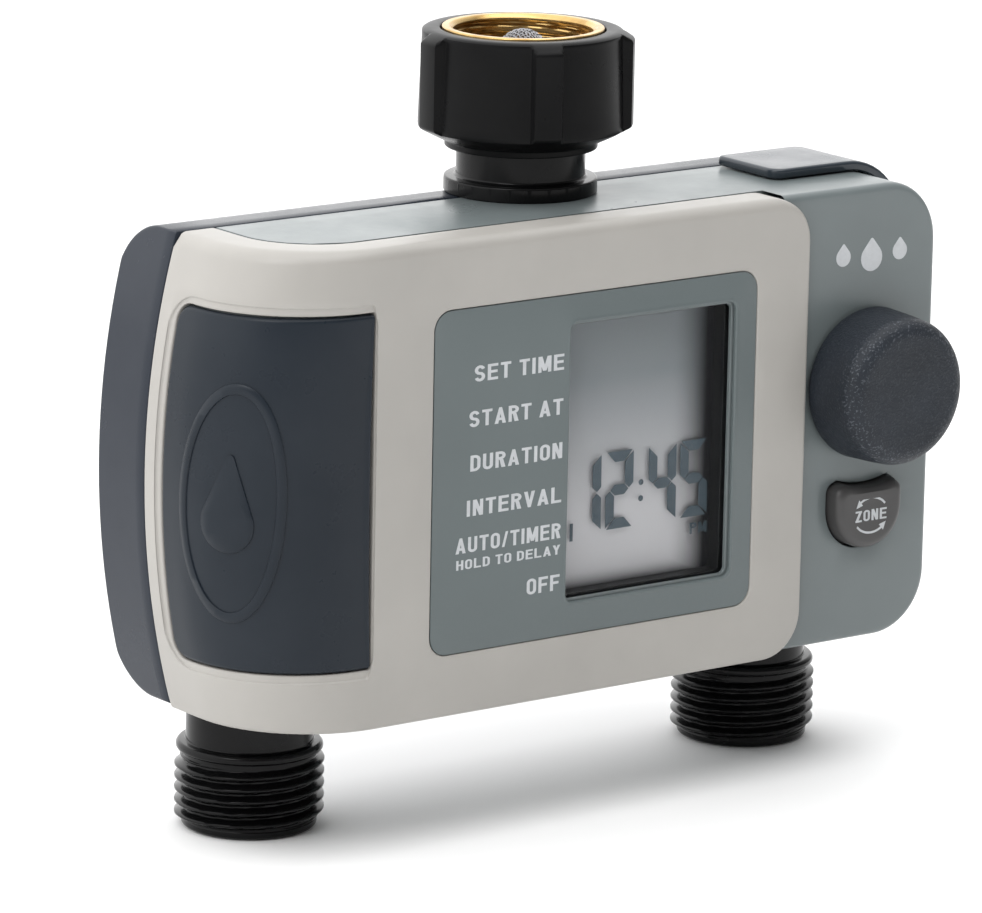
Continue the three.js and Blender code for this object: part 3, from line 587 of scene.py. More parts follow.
def droplet(cx, cz, r, tall, grow=0.0, count=64):
    """Plain drop: a round foot with straight flanks that meet in a small round tip."""
    r, tip_r = r + grow, 0.16 * r + grow * 0.4
    rise = tall - r - tip_r
    lean = math.degrees(math.asin((r - tip_r) / rise))
    foot = arc(cx, cz, r, 180 - lean, 360 + lean, count)
    return foot + arc(cx, cz + rise, tip_r, lean, 180 - lean, 8)


def battery_cover():
    skin = Skin()
    gap, top_gap, side_gap, proud, under = 0.22, 0.32, 0.4, 0.42, 1.85

    def outline(inset):
        return rounded(COVER_U[0] + gap, COVER_U[1] - side_gap, COVER_Z[0] + gap, COVER_Z[1] - top_gap,
                       (3.4, 1.0, 1.0, 3.4), inset, 2.2, 8)

    def crown(u, z):
        """The cover swells slightly towards its middle and dips along its right edge."""
        a = (u - COVER_U[0]) / (COVER_U[1] - COVER_U[0])
        b = (z - COVER_Z[0]) / (COVER_Z[1] - COVER_Z[0])
        lip = 0.28 * max(0.0, 1 - abs(COVER_U[1] - 1.1 - u) / 0.7)
        return proud - 0.12 * max(0.0, math.sin(math.pi * a) * math.sin(math.pi * b)) ** 0.5 - lip

    face = level(lambda u, z, height: wrap(u, z, crown(u, z) - height))
    rim = [(outline(inset), -drop) for inset, drop in bend(0.7, 6) + [(1.0, 0.0), (1.4, 0.0), (2.0, 0.0)]]
    rings = skin.loft(rim, face)
    back = skin.ring([wrap(u, z, under) for u, z in outline(0.3)])
    skin.bridge(rings[0], back)

    # raised oval ring with a raised drop in it, both with sloped flanks
    cu, cz, raised = -22.5, -74.5, 0.3
    turn = math.radians(-3)

    def mark(shape):
        """Levels of a raised shape, from its foot to its flat top."""
        levels = []
        for t, lift in ((0, 0), (0.35, raised * 0.72), (1, raised)):
            levels.append(([(cu + (u - cu) * math.cos(turn) - (z - cz) * math.sin(turn),
                             cz + (u - cu) * math.sin(turn) + (z - cz) * math.cos(turn))
                            for u, z in shape(0.13 * t)], lift))
        return levels

    marks = [mark(lambda s: ellipse(cu, cz, 10.8 - s, 21.5 - s)),
             mark(lambda s: ellipse(cu, cz, 8.9 + s, 19.6 + s)),
             mark(lambda s: droplet(cu, cz - 3.5, 5.2, 17.5, -s))]
    outer, inner, drop = [skin.loft(levels, face) for levels in marks]
    outer_foot, inner_foot, drop_foot = [levels[0][0] for levels in marks]
    outer_top, inner_top, drop_top = [levels[-1][0] for levels in marks]
    points = grid(*COVER_U, *COVER_Z, 1.4, 3)
    skin.fill([rings[-1], outer[0]], [rim[-1][0], outer_foot], face(0), points)
    skin.fill([outer[-1], inner[-1]], [outer_top, inner_top], face(raised))
    skin.fill([inner[0], drop[0]], [inner_foot, drop_foot], face(0), points)
    skin.fill([drop[-1]], [drop_top], face(raised), points)
    skin.fill([back], [outline(0.3)], wrapped(under), points)
    piece("battery_cover_lid", skin, "slate", "battery_door", ["battery_cover"], 50)


def front_housing():
    """Grey shell: the block right of the cream shell and the strips between it and the seam."""
    skin = Skin()
    ledge_y, rear_y = -23.4, -0.15
    cut_x, cut_r, foot_r = BEZEL_RIGHT + 0.25, 5.4, BEZEL_CORNER + 0.25
    corner_x, top_z = cut_x - cut_r, TOP_Z - cut_r
    foot_x, foot_z = cut_x - foot_r, BEZEL_BOTTOM - 0.25 + foot_r
    left_r = END_R - 8.3
    end_x = RIGHT_X - CORNER_R

    def right_side(inset):
        """From the bottom of the block round the right end to its top, above the wedge."""
        bottom, r = BOTTOM_Z + inset, CORNER_R - inset
        start = foot_x + math.sqrt(max((foot_r + inset) ** 2 - (bottom - foot_z) ** 2, 0.0))
        points = [(start + (end_x - start) * k / 5, bottom) for k in range(5)]
        points += arc(end_x, BOTTOM_Z + CORNER_R, r, 270, 360, 14)
        points += line((RIGHT_X - inset, BOTTOM_Z + CORNER_R), (RIGHT_X - inset, TOP_Z - CORNER_R), 8)[1:]
        points += arc(end_x, TOP_Z - CORNER_R, r, 0, 90, 14)
        return points + [(corner_x + (end_x - corner_x) * k / 5, TOP_Z - inset) for k in (4, 3, 2, 1, 0)]

    def left_side(inset, lean_in):
        """Down the edge beside the cream shell; lean_in keeps that edge sharper than the others."""
        r, foot = cut_r + lean_in, foot_r + lean_in
        low_angle = math.degrees(math.asin(max(-1.0, (BOTTOM_Z + inset - foot_z) / foot)))
        high_angle = math.degrees(math.asin(min(1.0, (cut_r - inset) / r)))
        points = arc(corner_x, top_z, r, high_angle, 0, 8)[1:]
        points += [(cut_x + lean_in, z) for z in np.linspace(top_z, foot_z, 10)[1:-1]]
        return points + arc(foot_x, foot_z, foot, 0, low_angle, 10)[:-1]

    def block(inset):
        return right_side(inset) + left_side(inset, min(inset, 0.5))

    steps = [(0, ledge_y), (0, -26.5)] + [(inset, FACE_Y + drop) for inset, drop in bend(1.4, 6)]
    rings = skin.loft([(block(inset), y) for inset, y in steps], facing)

    # well round the button
    well_y = FACE_Y + 4.0
    wells = [(shield_outline(grow), y) for grow, y in (
        (0.65, FACE_Y), (0.45, FACE_Y + 0.07), (0.35, FACE_Y + 0.3), (0.35, well_y))]
    well_rings = skin.loft(wells, facing)
    skin.fill([well_rings[-1]], [wells[-1][0]], facing(well_y))
    skin.fill([rings[-1], well_rings[0]], [block(steps[-1][0]), wells[0][0]], facing(FACE_Y),
              grid(44, RIGHT_X, BOTTOM_Z, TOP_Z, 5, 5))

    def strips(y, inset=0.0):
        """The rest of the outline behind the cream shell, open for the battery bay."""
        reach = math.sqrt(max(left_r ** 2 - min(y - END_Y, 0.0) ** 2, 0.0))

        def edge(z):
            return END_X - reach + bow(z) + inset

        top, low = TOP_Z - inset, BOTTOM_Z + inset
        points = between((corner_x, top), (edge(top), top), 14)
        points += [(edge(z), z) for z in np.linspace(top, BAY_TOP, 6)]
        points += [(BAY_RIGHT, BAY_TOP), (BAY_RIGHT, BAY_BOTTOM)]
        points += [(edge(z), z) for z in np.linspace(BAY_BOTTOM, low, 6)]
        return points + between((edge(low), low), (right_side(inset)[0][0], low), 14)

    # ledge behind the cream shell, then the outline back to the seam
    flat = block(0)
    count = len(right_side(0))
    behind = strips(ledge_y)
    ledge = skin.ring([(x, ledge_y, z) for x, z in behind])
    loop = [rings[0][count - 1]] + ledge + rings[0][:1] + rings[0][count:][::-1]
    skin.fill([loop], [[flat[count - 1]] + behind + flat[:1] + flat[count:][::-1]], facing(ledge_y))
    steps = [(y, 0) for y in (-21, -18, -15, -12, END_Y, -5, -0.6)] + [(-0.3, 0.09), (rear_y, 0.3)]
    levels = [(right_side(inset) + strips(y, inset), y) for y, inset in steps]
    layers = skin.loft(levels, facing)
    skin.bridge(rings[0][:count] + ledge, layers[0])
    skin.fill([layers[-1]], [levels[-1][0]], facing(rear_y))
    piece("front_housing_shell", skin, "grey", "housing", ["front_housing"], 40)


def bay_liner():
    """Wall behind the battery cover with the opening for the cells."""
    skin = Skin()
    margin, front, back = 3, 2.2, 4.2
    around = (COVER_U[0] - margin, COVER_U[1] + margin, COVER_Z[0] - margin, COVER_Z[1] + margin)
    outline = rounded(*around, 3, 0, 2.2, 6)
    holes = [(rounded(COVER_U[0] + 1.2, COVER_U[1] - 3.2, -100.5, -45.5, 2.0, -grow, 2.2, 6), depth)
             for grow, depth in ((0.3, front), (0.0, 2.5), (0.0, back))]
    outer = skin.loft([(outline, front), (outline, back)], wrapped)
    inner = skin.loft(holes, wrapped)
    for depth, i in ((front, 0), (back, -1)):
        skin.fill([outer[i], inner[i]], [outline, holes[i][0]], wrapped(depth), grid(*around, 2, 5))
    piece("battery_bay_wall", skin, "grey", "housing", (), 40)


def rear_housing():
    skin = Skin()
    middle = (TOP_Z + BOTTOM_Z) / 2
    half = (TOP_Z - BOTTOM_Z) / 2
    end_x, front_y = RIGHT_X - CORNER_R, 0.15

    def outline(y, inset=0.0):
        back = max(y - (REAR_Y - REAR_R), 0.0)
        shrink = max(REAR_R - math.sqrt(max(REAR_R ** 2 - back ** 2, 0.0)), inset)
        top, low = middle + half - shrink, middle - half + shrink
        r, side_x = CORNER_R - inset, RIGHT_X - inset
        points = arc(end_x, middle - (half - CORNER_R), r, 270, 360, 16)
        points += line((side_x, middle - half + CORNER_R), (side_x, middle + half - CORNER_R), 6)[1:]
        points += arc(end_x, middle + half - CORNER_R, r, 0, 90, 16)
        points = [(x, middle + (z - middle) * (half - shrink) / (half - inset)) for x, z in points]
        soften = 0.4 + inset

        def edge(z):
            near = max(0.0, 1 - min(top - z, z - low) / soften)
            return SIDE_X + 0.3 + inset + bow(z) + soften * 0.8 * (1 - math.sqrt(1 - near ** 2))

        count = 16
        close = [0.12, 0.35, 0.8]      # extra rows near the two soft ends
        heights = [top - d for d in close] + list(np.linspace(top - 1.6, low + 1.6, 22))
        heights += [low + d for d in close[::-1]]
        points += between((end_x, top), (edge(top), top), count)
        points += [(edge(z), z) for z in [top] + heights + [low]]
        return points + between((edge(low), low), (end_x, low), count)

    side_r = 0.5
    depths = [REAR_Y - REAR_R + REAR_R * math.sin(math.pi / 2 * i / 20) for i in range(20)]
    depths += [REAR_Y - side_r * (1 - math.sin(math.pi / 2 * i / 6)) for i in range(7)]
    steps = [(front_y, 0.3), (0.24, 0.12), (0.45, 0.0), (3, 0.0)]
    steps += [(y, drop_at(REAR_Y - y, side_r)) for y in sorted(depths)]
    levels = [(outline(min(y, REAR_Y - 0.02), inset), y) for y, inset in steps]
    rings = skin.loft(levels, facing)
    skin.fill([rings[0]], [levels[0][0]], facing(front_y))
    skin.fill([rings[-1]], [levels[-1][0]], facing(REAR_Y), grid(-80, 72, BOTTOM_Z, TOP_Z, 8, 8))
    screw_wells(piece("rear_housing_shell", skin, "rear", "housing", ["rear_housing"], 35))


def screw_places():
    """Number, middle and head height of each rear screw, from its CAD node."""
    places = []
    for i in range(1, 7):
        low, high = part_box(f"rear_screw_{i}")
        centre = (low + high) / 2 / MM
        places.append((i, centre.x, centre.z, high.y / MM))
    return places


def screw_wells(shell):
    """Cuts the round wells that the rear screws sit in."""
    cutter = Skin()
    r, deep, beyond = 3.5, 1.6, 18
    for _, x, z, head_y in screw_places():
        floor = head_y - deep
        cutter.turn(soft([(0, floor), (r, floor), (r, beyond), (0, beyond)], 0.01), 40, "Y", (x, 0, z))
    tool = linked("wells", cutter.mesh("wells", 5e-6))
    cut = shell.modifiers.new("wells", "BOOLEAN")
    cut.operation = "DIFFERENCE"
    cut.solver = "EXACT"
    cut.object = tool
    bpy.context.view_layer.update()
    made = bpy.data.meshes.new_from_object(shell.evaluated_get(bpy.context.evaluated_depsgraph_get()))
    shell.modifiers.clear()
    shell.data = made
    made.shade_smooth()
    made.set_sharp_from_angle(angle=math.radians(35))
    bpy.data.objects.remove(tool)


def corner_cap():
    """Rubbery cap folded over the top right corner."""
    skin = Skin()
    reach, thick = 17.4, 1.8
    base = CORNER_R + 0.3
    quarter = base * math.pi / 2
    cx, cz = RIGHT_X - CORNER_R, TOP_Z - CORNER_R

    def fold(u, y, height):
        """u runs along the top, round the corner and down the side."""
        r = base + height
        if u < 0:
            return (cx + u, y, cz + r)
        if u < quarter:
            a = math.pi / 2 - u / base
            return (cx + r * math.cos(a), y, cz + r * math.sin(a))
        return (cx + r, y, cz - (u - quarter))

    def outline(inset):
        return rounded(-reach, quarter + reach, -18, -0.3, (1.6, 1.6, 2.6, 2.6), inset, 1.6, 8)

    folded = level(fold)
    edge = [(outline(inset), thick - drop) for inset, drop in bend(0.6, 6)]
    rings = skin.loft(edge, folded)
    under = skin.loft([(outline(0), 0.3), (outline(0.3), 0.0)], folded)
    skin.bridge(rings[0], under[0])
    points = grid(-reach, quarter + reach, -18, 0, 1.6, 4)
    skin.fill([rings[-1]], [edge[-1][0]], folded(thick), points)
    skin.fill([under[1]], [outline(0.3)], folded(0.0), points)
    piece("corner_cap_cover", skin, "cap", "corner_cover", ["corner_cap"], 45)


# ------------------------------------------------------------------ panel and display

def flat_plate(outline, hole, front, back, r, hole_r=0.1):
    """A plate facing -Y. outline(inset) and hole(inset) give 2D loops; hole may be None."""
    skin = Skin()
    edges = []
    for shape, radius, sign in ((outline, r, 1), (hole, hole_r, -1)):
        if shape:
            levels = [(shape(sign * inset), front + drop) for inset, drop in bend(radius, 4)]
            rings = skin.loft(levels, facing)
            rear = skin.ring([(x, back, z) for x, z in shape(0)])
            skin.bridge(rings[0], rear)
            edges.append((rings[-1], levels[-1][0], rear, shape(0)))
    tops, top_flats, rears, rear_flats = zip(*edges)
    skin.fill(tops, top_flats, facing(front))
    skin.fill(rears, rear_flats, facing(back))
    return skin


def box_outline(area, grow=0.0):
    left, right, low, high, r = area
    sides = (left - grow, right + grow, low - grow, high + grow)
    return lambda inset: rounded(*sides, max(r + grow, 0.1), inset, 4.0, 6)


def control_panel():
    """Overlay plate with a fine raised bead round its window."""
    skin = Skin()
    face, back = BEZEL_Y + 0.05, BEZEL_Y + 0.6
    outer, window = box_outline(PANEL), box_outline(WINDOW)
    edge = [(0, back)] + [(inset, face + drop) for inset, drop in bend(0.12, 3)]
    bead = [(0.8, 0.0), (0.68, -0.04), (0.5, -0.12), (0.32, -0.14), (0.14, -0.1), (0.03, 0.0), (0.0, 0.12)]
    rim = skin.loft([(outer(inset), y) for inset, y in edge], facing)
    hole = skin.loft([(window(-grow), face + lift) for grow, lift in bead] + [(window(0), back)], facing)
    skin.fill([rim[-1], hole[0]], [outer(0.12), window(-0.8)], facing(face))
    skin.fill([rim[0], hole[-1]], [outer(0), window(0)], facing(back))
    piece("control_panel_overlay", skin, "panel", "housing", ["control_panel"], 40)


def display():
    """From the front: rim of the window moulding, clear window, a frame coloured nearly black partly as
    painted shade of the deep window, and a grey background.
    """
    for name, grow, hole, front, back, hole_r, material, replaced, slot in (
        ("window_rim", 0.55, -0.45, 0.8, 1.5, 0.12, "grey", (), "panel_plastic"),
        ("display_window", 0.9, None, 1.55, 2.2, 0, "lens", ["display_lens"], "clear_window"),
        # the tunnel's near-black colour stands partly for painted shade of the deep window
        ("display_frame_tunnel", 4.0, -0.9, 2.25, 5.2, 0.15, "frame", ["display_frame"], "white_plastic"),
        ("display_reflector", 1.5, None, 5.25, 6.0, 0, "reflector", ["display_glass"], "display"),
    ):
        opening = hole and box_outline(WINDOW, hole)
        skin = flat_plate(box_outline(WINDOW, grow), opening, BEZEL_Y + front, BEZEL_Y + back, 0.05, hole_r)
        piece(name, skin, material, "housing", replaced, 30)


# ------------------------------------------------------------------ lettering

WEIGHT = 0.165                         # stroke width of a letter one unit tall
HALF = WEIGHT / 2
LETTER_GAP = 0.13
WIDTHS = {"M": 0.66, "A": 0.58, "V": 0.56, "Y": 0.56, "/": 0.34, "I": WEIGHT + 0.01, " ": 0.16}


def oval(cx, cz, rx, rz, start, end, count=10):
    """Points on an ellipse, angles in degrees, both ends included."""
    angles = [math.radians(start + (end - start) * i / count) for i in range(count + 1)]
    return [(cx + rx * math.cos(a), cz + rz * math.sin(a)) for a in angles]


def stroke(points, half=HALF):
    """Outline of a line of even width with mitred corners."""
    left, right = [], []
    points = [p for i, p in enumerate(points) if not i or math.dist(p, points[i - 1]) > 1e-4]
    for i, p in enumerate(points):
        here = Vector(p)
        back = (here - Vector(points[i - 1])).normalized() if i else None
        ahead = (Vector(points[i + 1]) - here).normalized() if i + 1 < len(points) else None
        along = ((back or ahead) + (ahead or back)).normalized()
        side = Vector((-along.y, along.x))
        reach = half / max(0.5, side.dot(Vector((-(ahead or back).y, (ahead or back).x))))
        left.append(tuple(here + side * reach))
        right.append(tuple(here - side * reach))
    return left + right[::-1]


def letter(name):
    """Width and outlines of a plain narrow capital, one unit tall."""
    h, w = HALF, WIDTHS.get(name, 0.52)
    mid, r, far_x, top, waist = w / 2, w / 2 - HALF, w - HALF, 1 - HALF, 0.52
    stem, far = stroke([(h, 0), (h, 1)]), stroke([(far_x, 0), (far_x, 1)])
    head, foot = stroke([(0, top), (w, top)]), stroke([(0, h), (w, h)])
    left_lean = [(0, 0), (2.2 * h, 0), (mid + 0.9 * h, 1), (mid - 0.9 * h, 1)]
    right_lean = [(w - x, z) for x, z in left_lean]
    bow_x, d_x = far_x - 0.2, far_x - 0.22
    bowl = [(h, top), (bow_x, top)] + oval(bow_x, 0.7 + h / 2, 0.2, 0.3 - 1.5 * h, 90, -90)
    bowl += [(h, 0.4 + 2 * h)]
    round_d = oval(d_x, 0.7, 0.22, 0.3 - h, 90, 0) + oval(d_x, 0.3, 0.22, 0.3 - h, 0, -90)
    upper_s = oval(mid, 0.75 - h / 2, r, 0.25 - h / 2, 15, 268)
    lower_s = oval(mid, 0.25 + h / 2, r, 0.25 - h / 2, 88, -165)
    shapes = {
        " ": [],
        "I": [stem],
        "L": [stroke([(h, 1), (h, h), (w, h)])],
        "T": [head, stroke([(mid, top), (mid, 0)])],
        "E": [stroke([(w, top), (h, top), (h, h), (w, h)]), stroke([(h, waist), (0.94 * w, waist)])],
        "F": [stroke([(w, top), (h, top), (h, 0)]), stroke([(h, 0.5), (0.9 * w, 0.5)])],
        "H": [stem, far, stroke([(h, waist), (far_x, waist)])],
        "N": [stem, far, [(0, 1), (2.3 * h, 1), (w, 0), (w - 2.3 * h, 0)]],
        "M": [stem, far, [(0, 1), (2.4 * h, 1), (mid + 1.1 * h, 0.1), (mid - 1.1 * h, 0.1)],
              [(w, 1), (w - 2.4 * h, 1), (mid - 1.1 * h, 0.1), (mid + 1.1 * h, 0.1)]],
        "A": [left_lean, right_lean, [(0.2 * w, 0.2), (0.8 * w, 0.2), (0.72 * w, 0.36), (0.28 * w, 0.36)]],
        "V": [[(x, 1 - z) for x, z in lean] for lean in (left_lean, right_lean)],
        "Y": [[(0, 1), (2.3 * h, 1), (mid + h, 0.42), (mid - h, 0.42)],
              [(w, 1), (w - 2.3 * h, 1), (mid - h, 0.42), (mid + h, 0.42)], stroke([(mid, 0), (mid, 0.5)])],
        "Z": [head, foot, [(w - 2.6 * h, top), (w, top), (2.6 * h, h), (0, h)]],
        "/": [[(0, 0), (1.7 * h, 0), (w, 1), (w - 1.7 * h, 1)]],
        "O": [stroke([(h, 0.49)] + oval(mid, top - r, r, r, 180, 0) + [(far_x, 0.49)]),
              stroke([(h, 0.51)] + oval(mid, h + r, r, r, 180, 360) + [(far_x, 0.51)])],
        "U": [stroke([(h, 1)] + oval(mid, h + r, r, r, 180, 360) + [(far_x, 1)])],
        "D": [stem, stroke([(h, top), (d_x, top)] + round_d + [(h, h)])],
        "P": [stem, stroke(bowl)],
        "R": [stem, stroke(bowl), [(0.4 * w, 0.5), (0.4 * w + 2.3 * h, 0.5), (w, 0), (w - 2.5 * h, 0)]],
        "S": [stroke(upper_s + lower_s)],
    }
    return w, shapes[name]


def word(text, height, width):
    """Outlines of a word with its lower left corner at 0, 0."""
    outlines, pen = [], 0.0
    for name in text:
        w, shapes = letter(name)
        outlines += [[(pen + x, z) for x, z in shape] for shape in shapes]
        pen += w + LETTER_GAP
    scale = width / (pen - LETTER_GAP)
    return [[(x * scale, z * height) for x, z in shape] for shape in outlines]


def plate(skin, outlines, front, back):
    """A closed thin plate over the union of overlapping outlines."""
    coords, edges = [], []
    for shape in outlines:
        base = len(coords)
        coords.extend(Vector(p) for p in shape)
        edges.extend((base + i, base + (i + 1) % len(shape)) for i in range(len(shape)))
    out, _, tris, *_ = delaunay_2d_cdt(coords, edges, [], 0, 1e-6, False)
    top, low = skin.ring([front(*v) for v in out]), skin.ring([back(*v) for v in out])
    used = {}
    for tri in tris:
        centre = sum((out[i] for i in tri), Vector((0, 0))) / 3
        if any(inside(centre, shape) for shape in outlines):
            skin.faces.append(tuple(top[i] for i in tri))
            skin.faces.append(tuple(low[i] for i in tri[::-1]))
            for i in range(3):
                used[(tri[i], tri[(i + 1) % 3])] = True
    for a, b in used:
        if (b, a) not in used:
            skin.faces.append((top[a], top[b], low[b], low[a]))


def shifted(outlines, dx, dz):
    return [[(x + dx, z + dz) for x, z in shape] for shape in outlines]


SEGMENTS = {"1": "bc", "2": "abged", "4": "fgbc", "5": "afgcd"}


def digit(text, x, z, width, height, bar, lean=-0.01):
    """Segment outlines of one digit; x, z is its lower left corner."""
    half, g, t = height / 2, 0.14, bar
    shapes = {
        "a": [(2 * g, height), (width - 2 * g, height), (width - t - g, height - t), (t + g, height - t)],
        "d": [(2 * g, 0), (t + g, t), (width - t - g, t), (width - 2 * g, 0)],
        "g": [(g + t / 2, half), (t + g, half + t / 2), (width - t - g, half + t / 2),
              (width - g - t / 2, half), (width - t - g, half - t / 2), (t + g, half - t / 2)],
        "f": [(0, height - 2 * g), (t, height - t - g), (t, half + t / 2 + g), (t / 2, half + g),
              (0, half + t / 2)],
        "e": [(0, 2 * g), (0, half - t / 2), (t / 2, half - g), (t, half - t / 2 - g), (t, t + g)],
        "b": [(width, height - 2 * g), (width, half + t / 2), (width - t / 2, half + g),
              (width - t, half + t / 2 + g), (width - t, height - t - g)],
        "c": [(width, 2 * g), (width - t, t + g), (width - t, half - t / 2 - g), (width - t / 2, half - g),
              (width, half - t / 2)],
    }
    return [[(x + px + lean * pz, z + pz) for px, pz in shapes[name]] for name in SEGMENTS[text]]


def display_digits():
    """The time 12:45, a bar beside the word AUTO and the letters PM."""
    low, tall, wide, bar = -88.0, 14.3, 6.3, 1.95
    outlines = []
    for text, x in (("1", -7.2), ("2", 0.1), ("4", 9.9), ("5", 17.1)):
        outlines += digit(text, x, low, wide, tall, bar)
    outlines += [ellipse(8.1, low + dz, 0.55, 0.55, 16) for dz in (4.9, 7.9)]
    outlines += [[(-7.9, -89.1), (-7.2, -89.1), (-7.2, -85.8), (-7.9, -85.8)]]
    outlines += shifted(word("PM", 2.1, 3.9), 19.6, -91.3)
    skin = Skin()
    for shape in outlines:
        plate(skin, [shape], facing(BEZEL_Y + 4.5), facing(BEZEL_Y + 4.56))
    piece("display_segments", skin, "segments", "housing", (), 30)


LABELS = (                             # text, left end, middle height, letter height
    ("SET TIME", -33.1, -54.5, 2.9),
    ("START AT", -34.1, -62.6, 2.9),
    ("DURATION", -33.7, -70.6, 2.9),
    ("INTERVAL", -34.3, -78.7, 2.9),
    ("AUTO/TIMER", -36.6, -85.3, 2.8),
    ("HOLD TO DELAY", -36.4, -88.8, 1.75),
    ("OFF", -20.7, -94.8, 2.9),
)
LABEL_RIGHT = -13.4


def panel_print():
    for i, (text, left, z, height) in enumerate(LABELS):
        skin = Skin()
        outlines = shifted(word(text, height, LABEL_RIGHT - left), left, z - height / 2)
        plate(skin, outlines, facing(BEZEL_Y + 0.03), facing(BEZEL_Y + 0.1))
        piece(f"panel_label_{i + 1}", skin, "ink", "housing", (), 30)


def housing_print():
    """Three plain water drops, the middle one larger."""
    skin = Skin()
    for cx, cz, r, tall in ((58.3, -43.6, 2.5, 6.2), (51.6, -42.9, 1.7, 4.2), (65.0, -42.9, 1.7, 4.2)):
        flat = droplet(cx, cz, r, tall, 0, 48)
        front, back = skin.loft([(flat, FACE_Y - 0.03), (flat, FACE_Y + 0.05)], facing)
        skin.faces += [tuple(front), tuple(back[::-1])]
    piece("housing_drop_print", skin, "ink", "housing", (), 30)


# ------------------------------------------------------------------ controls

def selector_knob():
    base_r, front_r, back_y, front_y = 14.18, 13.7, -30.9, -43.0
    socket_y = -40.4
    profile = [(3.2, socket_y), (3.2, back_y), (5.4, back_y), (5.4, -40.8), (11.3, -40.8), (12.4, back_y)]
    profile += [(base_r - 0.35, back_y), (base_r - 0.1, back_y - 0.1), (base_r, back_y - 0.35)]
    profile += [(base_r - 0.02 - 0.3 * t, back_y - 0.35 - 7.6 * t) for t in (0.25, 0.5, 0.75)]
    edge, steps = 3.2, 14
    for i in range(steps + 1):
        a = math.pi / 2 * i / steps
        profile.append((front_r - edge + edge * math.cos(a), front_y + edge - edge * math.sin(a)))
    profile += [(r, front_y + 0.18 * (1 - (r / 10.5) ** 2)) for r in (9, 7, 5, 3, 1, 0.0)]
    profile.append((0.0, socket_y))
    skin = Skin()
    rings = skin.turn(profile, 144, "Y", DIAL)
    skin.bridge(rings[-1], rings[0])
    piece("selector_knob_cap", skin, "knob", "dial", ["selector_knob"], 40)


def shield_outline(grow):
    """Outline of the button: top concentric with the dial, foot round, in x and z."""
    half, top_r, corner, count = 7.75 + grow, 19.4 - grow, 1.9 + grow * 0.5, 10
    left, right = BUTTON_X - half, BUTTON_X + half
    span = math.degrees(math.asin((half - corner) / top_r))
    points = arc(DIAL.x, DIAL.z, top_r, -90 - span, -90 + span, 2 * count)
    shoulder, first = [z - corner * 1.15 for z in (points[-1][1], points[0][1])]
    points += arc(right - corner, shoulder, corner, 80, 0, 5)
    points += [(right, z) for z in np.linspace(shoulder, BUTTON_FOOT_Z, 5)[1:-1]]
    points += arc(BUTTON_X, BUTTON_FOOT_Z, half, 0, -180, 3 * count)
    points += [(left, z) for z in np.linspace(BUTTON_FOOT_Z, first, 5)[1:-1]]
    points += arc(left + corner, first, corner, 180, 100, 5)
    return points[::-1]


def station_button():
    skin = Skin()
    foot, flange_y, back_y = shield_outline(1.1), -27.3, -26.3
    face = [(shield_outline(-inset), BUTTON_Y + drop) for inset, drop in bend(1.5, 7)]
    rings = skin.loft(face, facing)
    flange = skin.loft([(shield_outline(0), flange_y), (foot, flange_y), (foot, back_y)], facing)
    skin.bridge(rings[0], flange[0])
    skin.fill([rings[-1]], [face[-1][0]], button_face, grid(50, 65, -97, -84, 0.9, 0.9))
    skin.fill([flange[-1]], [foot], facing(back_y))
    piece("station_button_cap", skin, "button", "button", ["station_button"], 50)


def button_face(x, z, lift=0.0):
    """The button's front, slightly dished for the finger."""
    away = (x - BUTTON_X) ** 2 + (z - BUTTON_FOOT_Z + 0.5) ** 2
    return (x, BUTTON_Y + 0.25 * math.exp(-away / 22) - lift, z)


def button_print():
    """A word between two arrows that chase each other round it."""
    centre_x, centre_z = 57.5, -91.4
    radius_x, radius_z, head, tip = 4.0, 3.3, 128, 152
    skin = Skin()
    groups = [shifted(word("ZONE", 2.1, 7.4), -3.7, -1.05)]
    for turn in (0, 180):
        arrow = [oval(0, 0, rx, rz, angle + turn, angle + turn, 1)[0] for rx, rz, angle in
                 ((4.75, 4.0, head), (radius_x, radius_z, tip), (3.2, 2.55, head))]
        groups += [[stroke(oval(0, 0, radius_x, radius_z, 35 + turn, head + turn, 16), 0.2)], [arrow]]
    for outlines in groups:
        plate(skin, shifted(outlines, centre_x, centre_z), lambda x, z: button_face(x, z, 0.03),
              lambda x, z: button_face(x, z, -0.08))
    piece("button_marks", skin, "ink", "button", (), 30)


# ------------------------------------------------------------------ inlet

def smooth_min(a, b, k):
    h = max(0.0, min(1.0, 0.5 + 0.5 * (b - a) / k))
    return b + (a - b) * h - k * h * (1 - h)


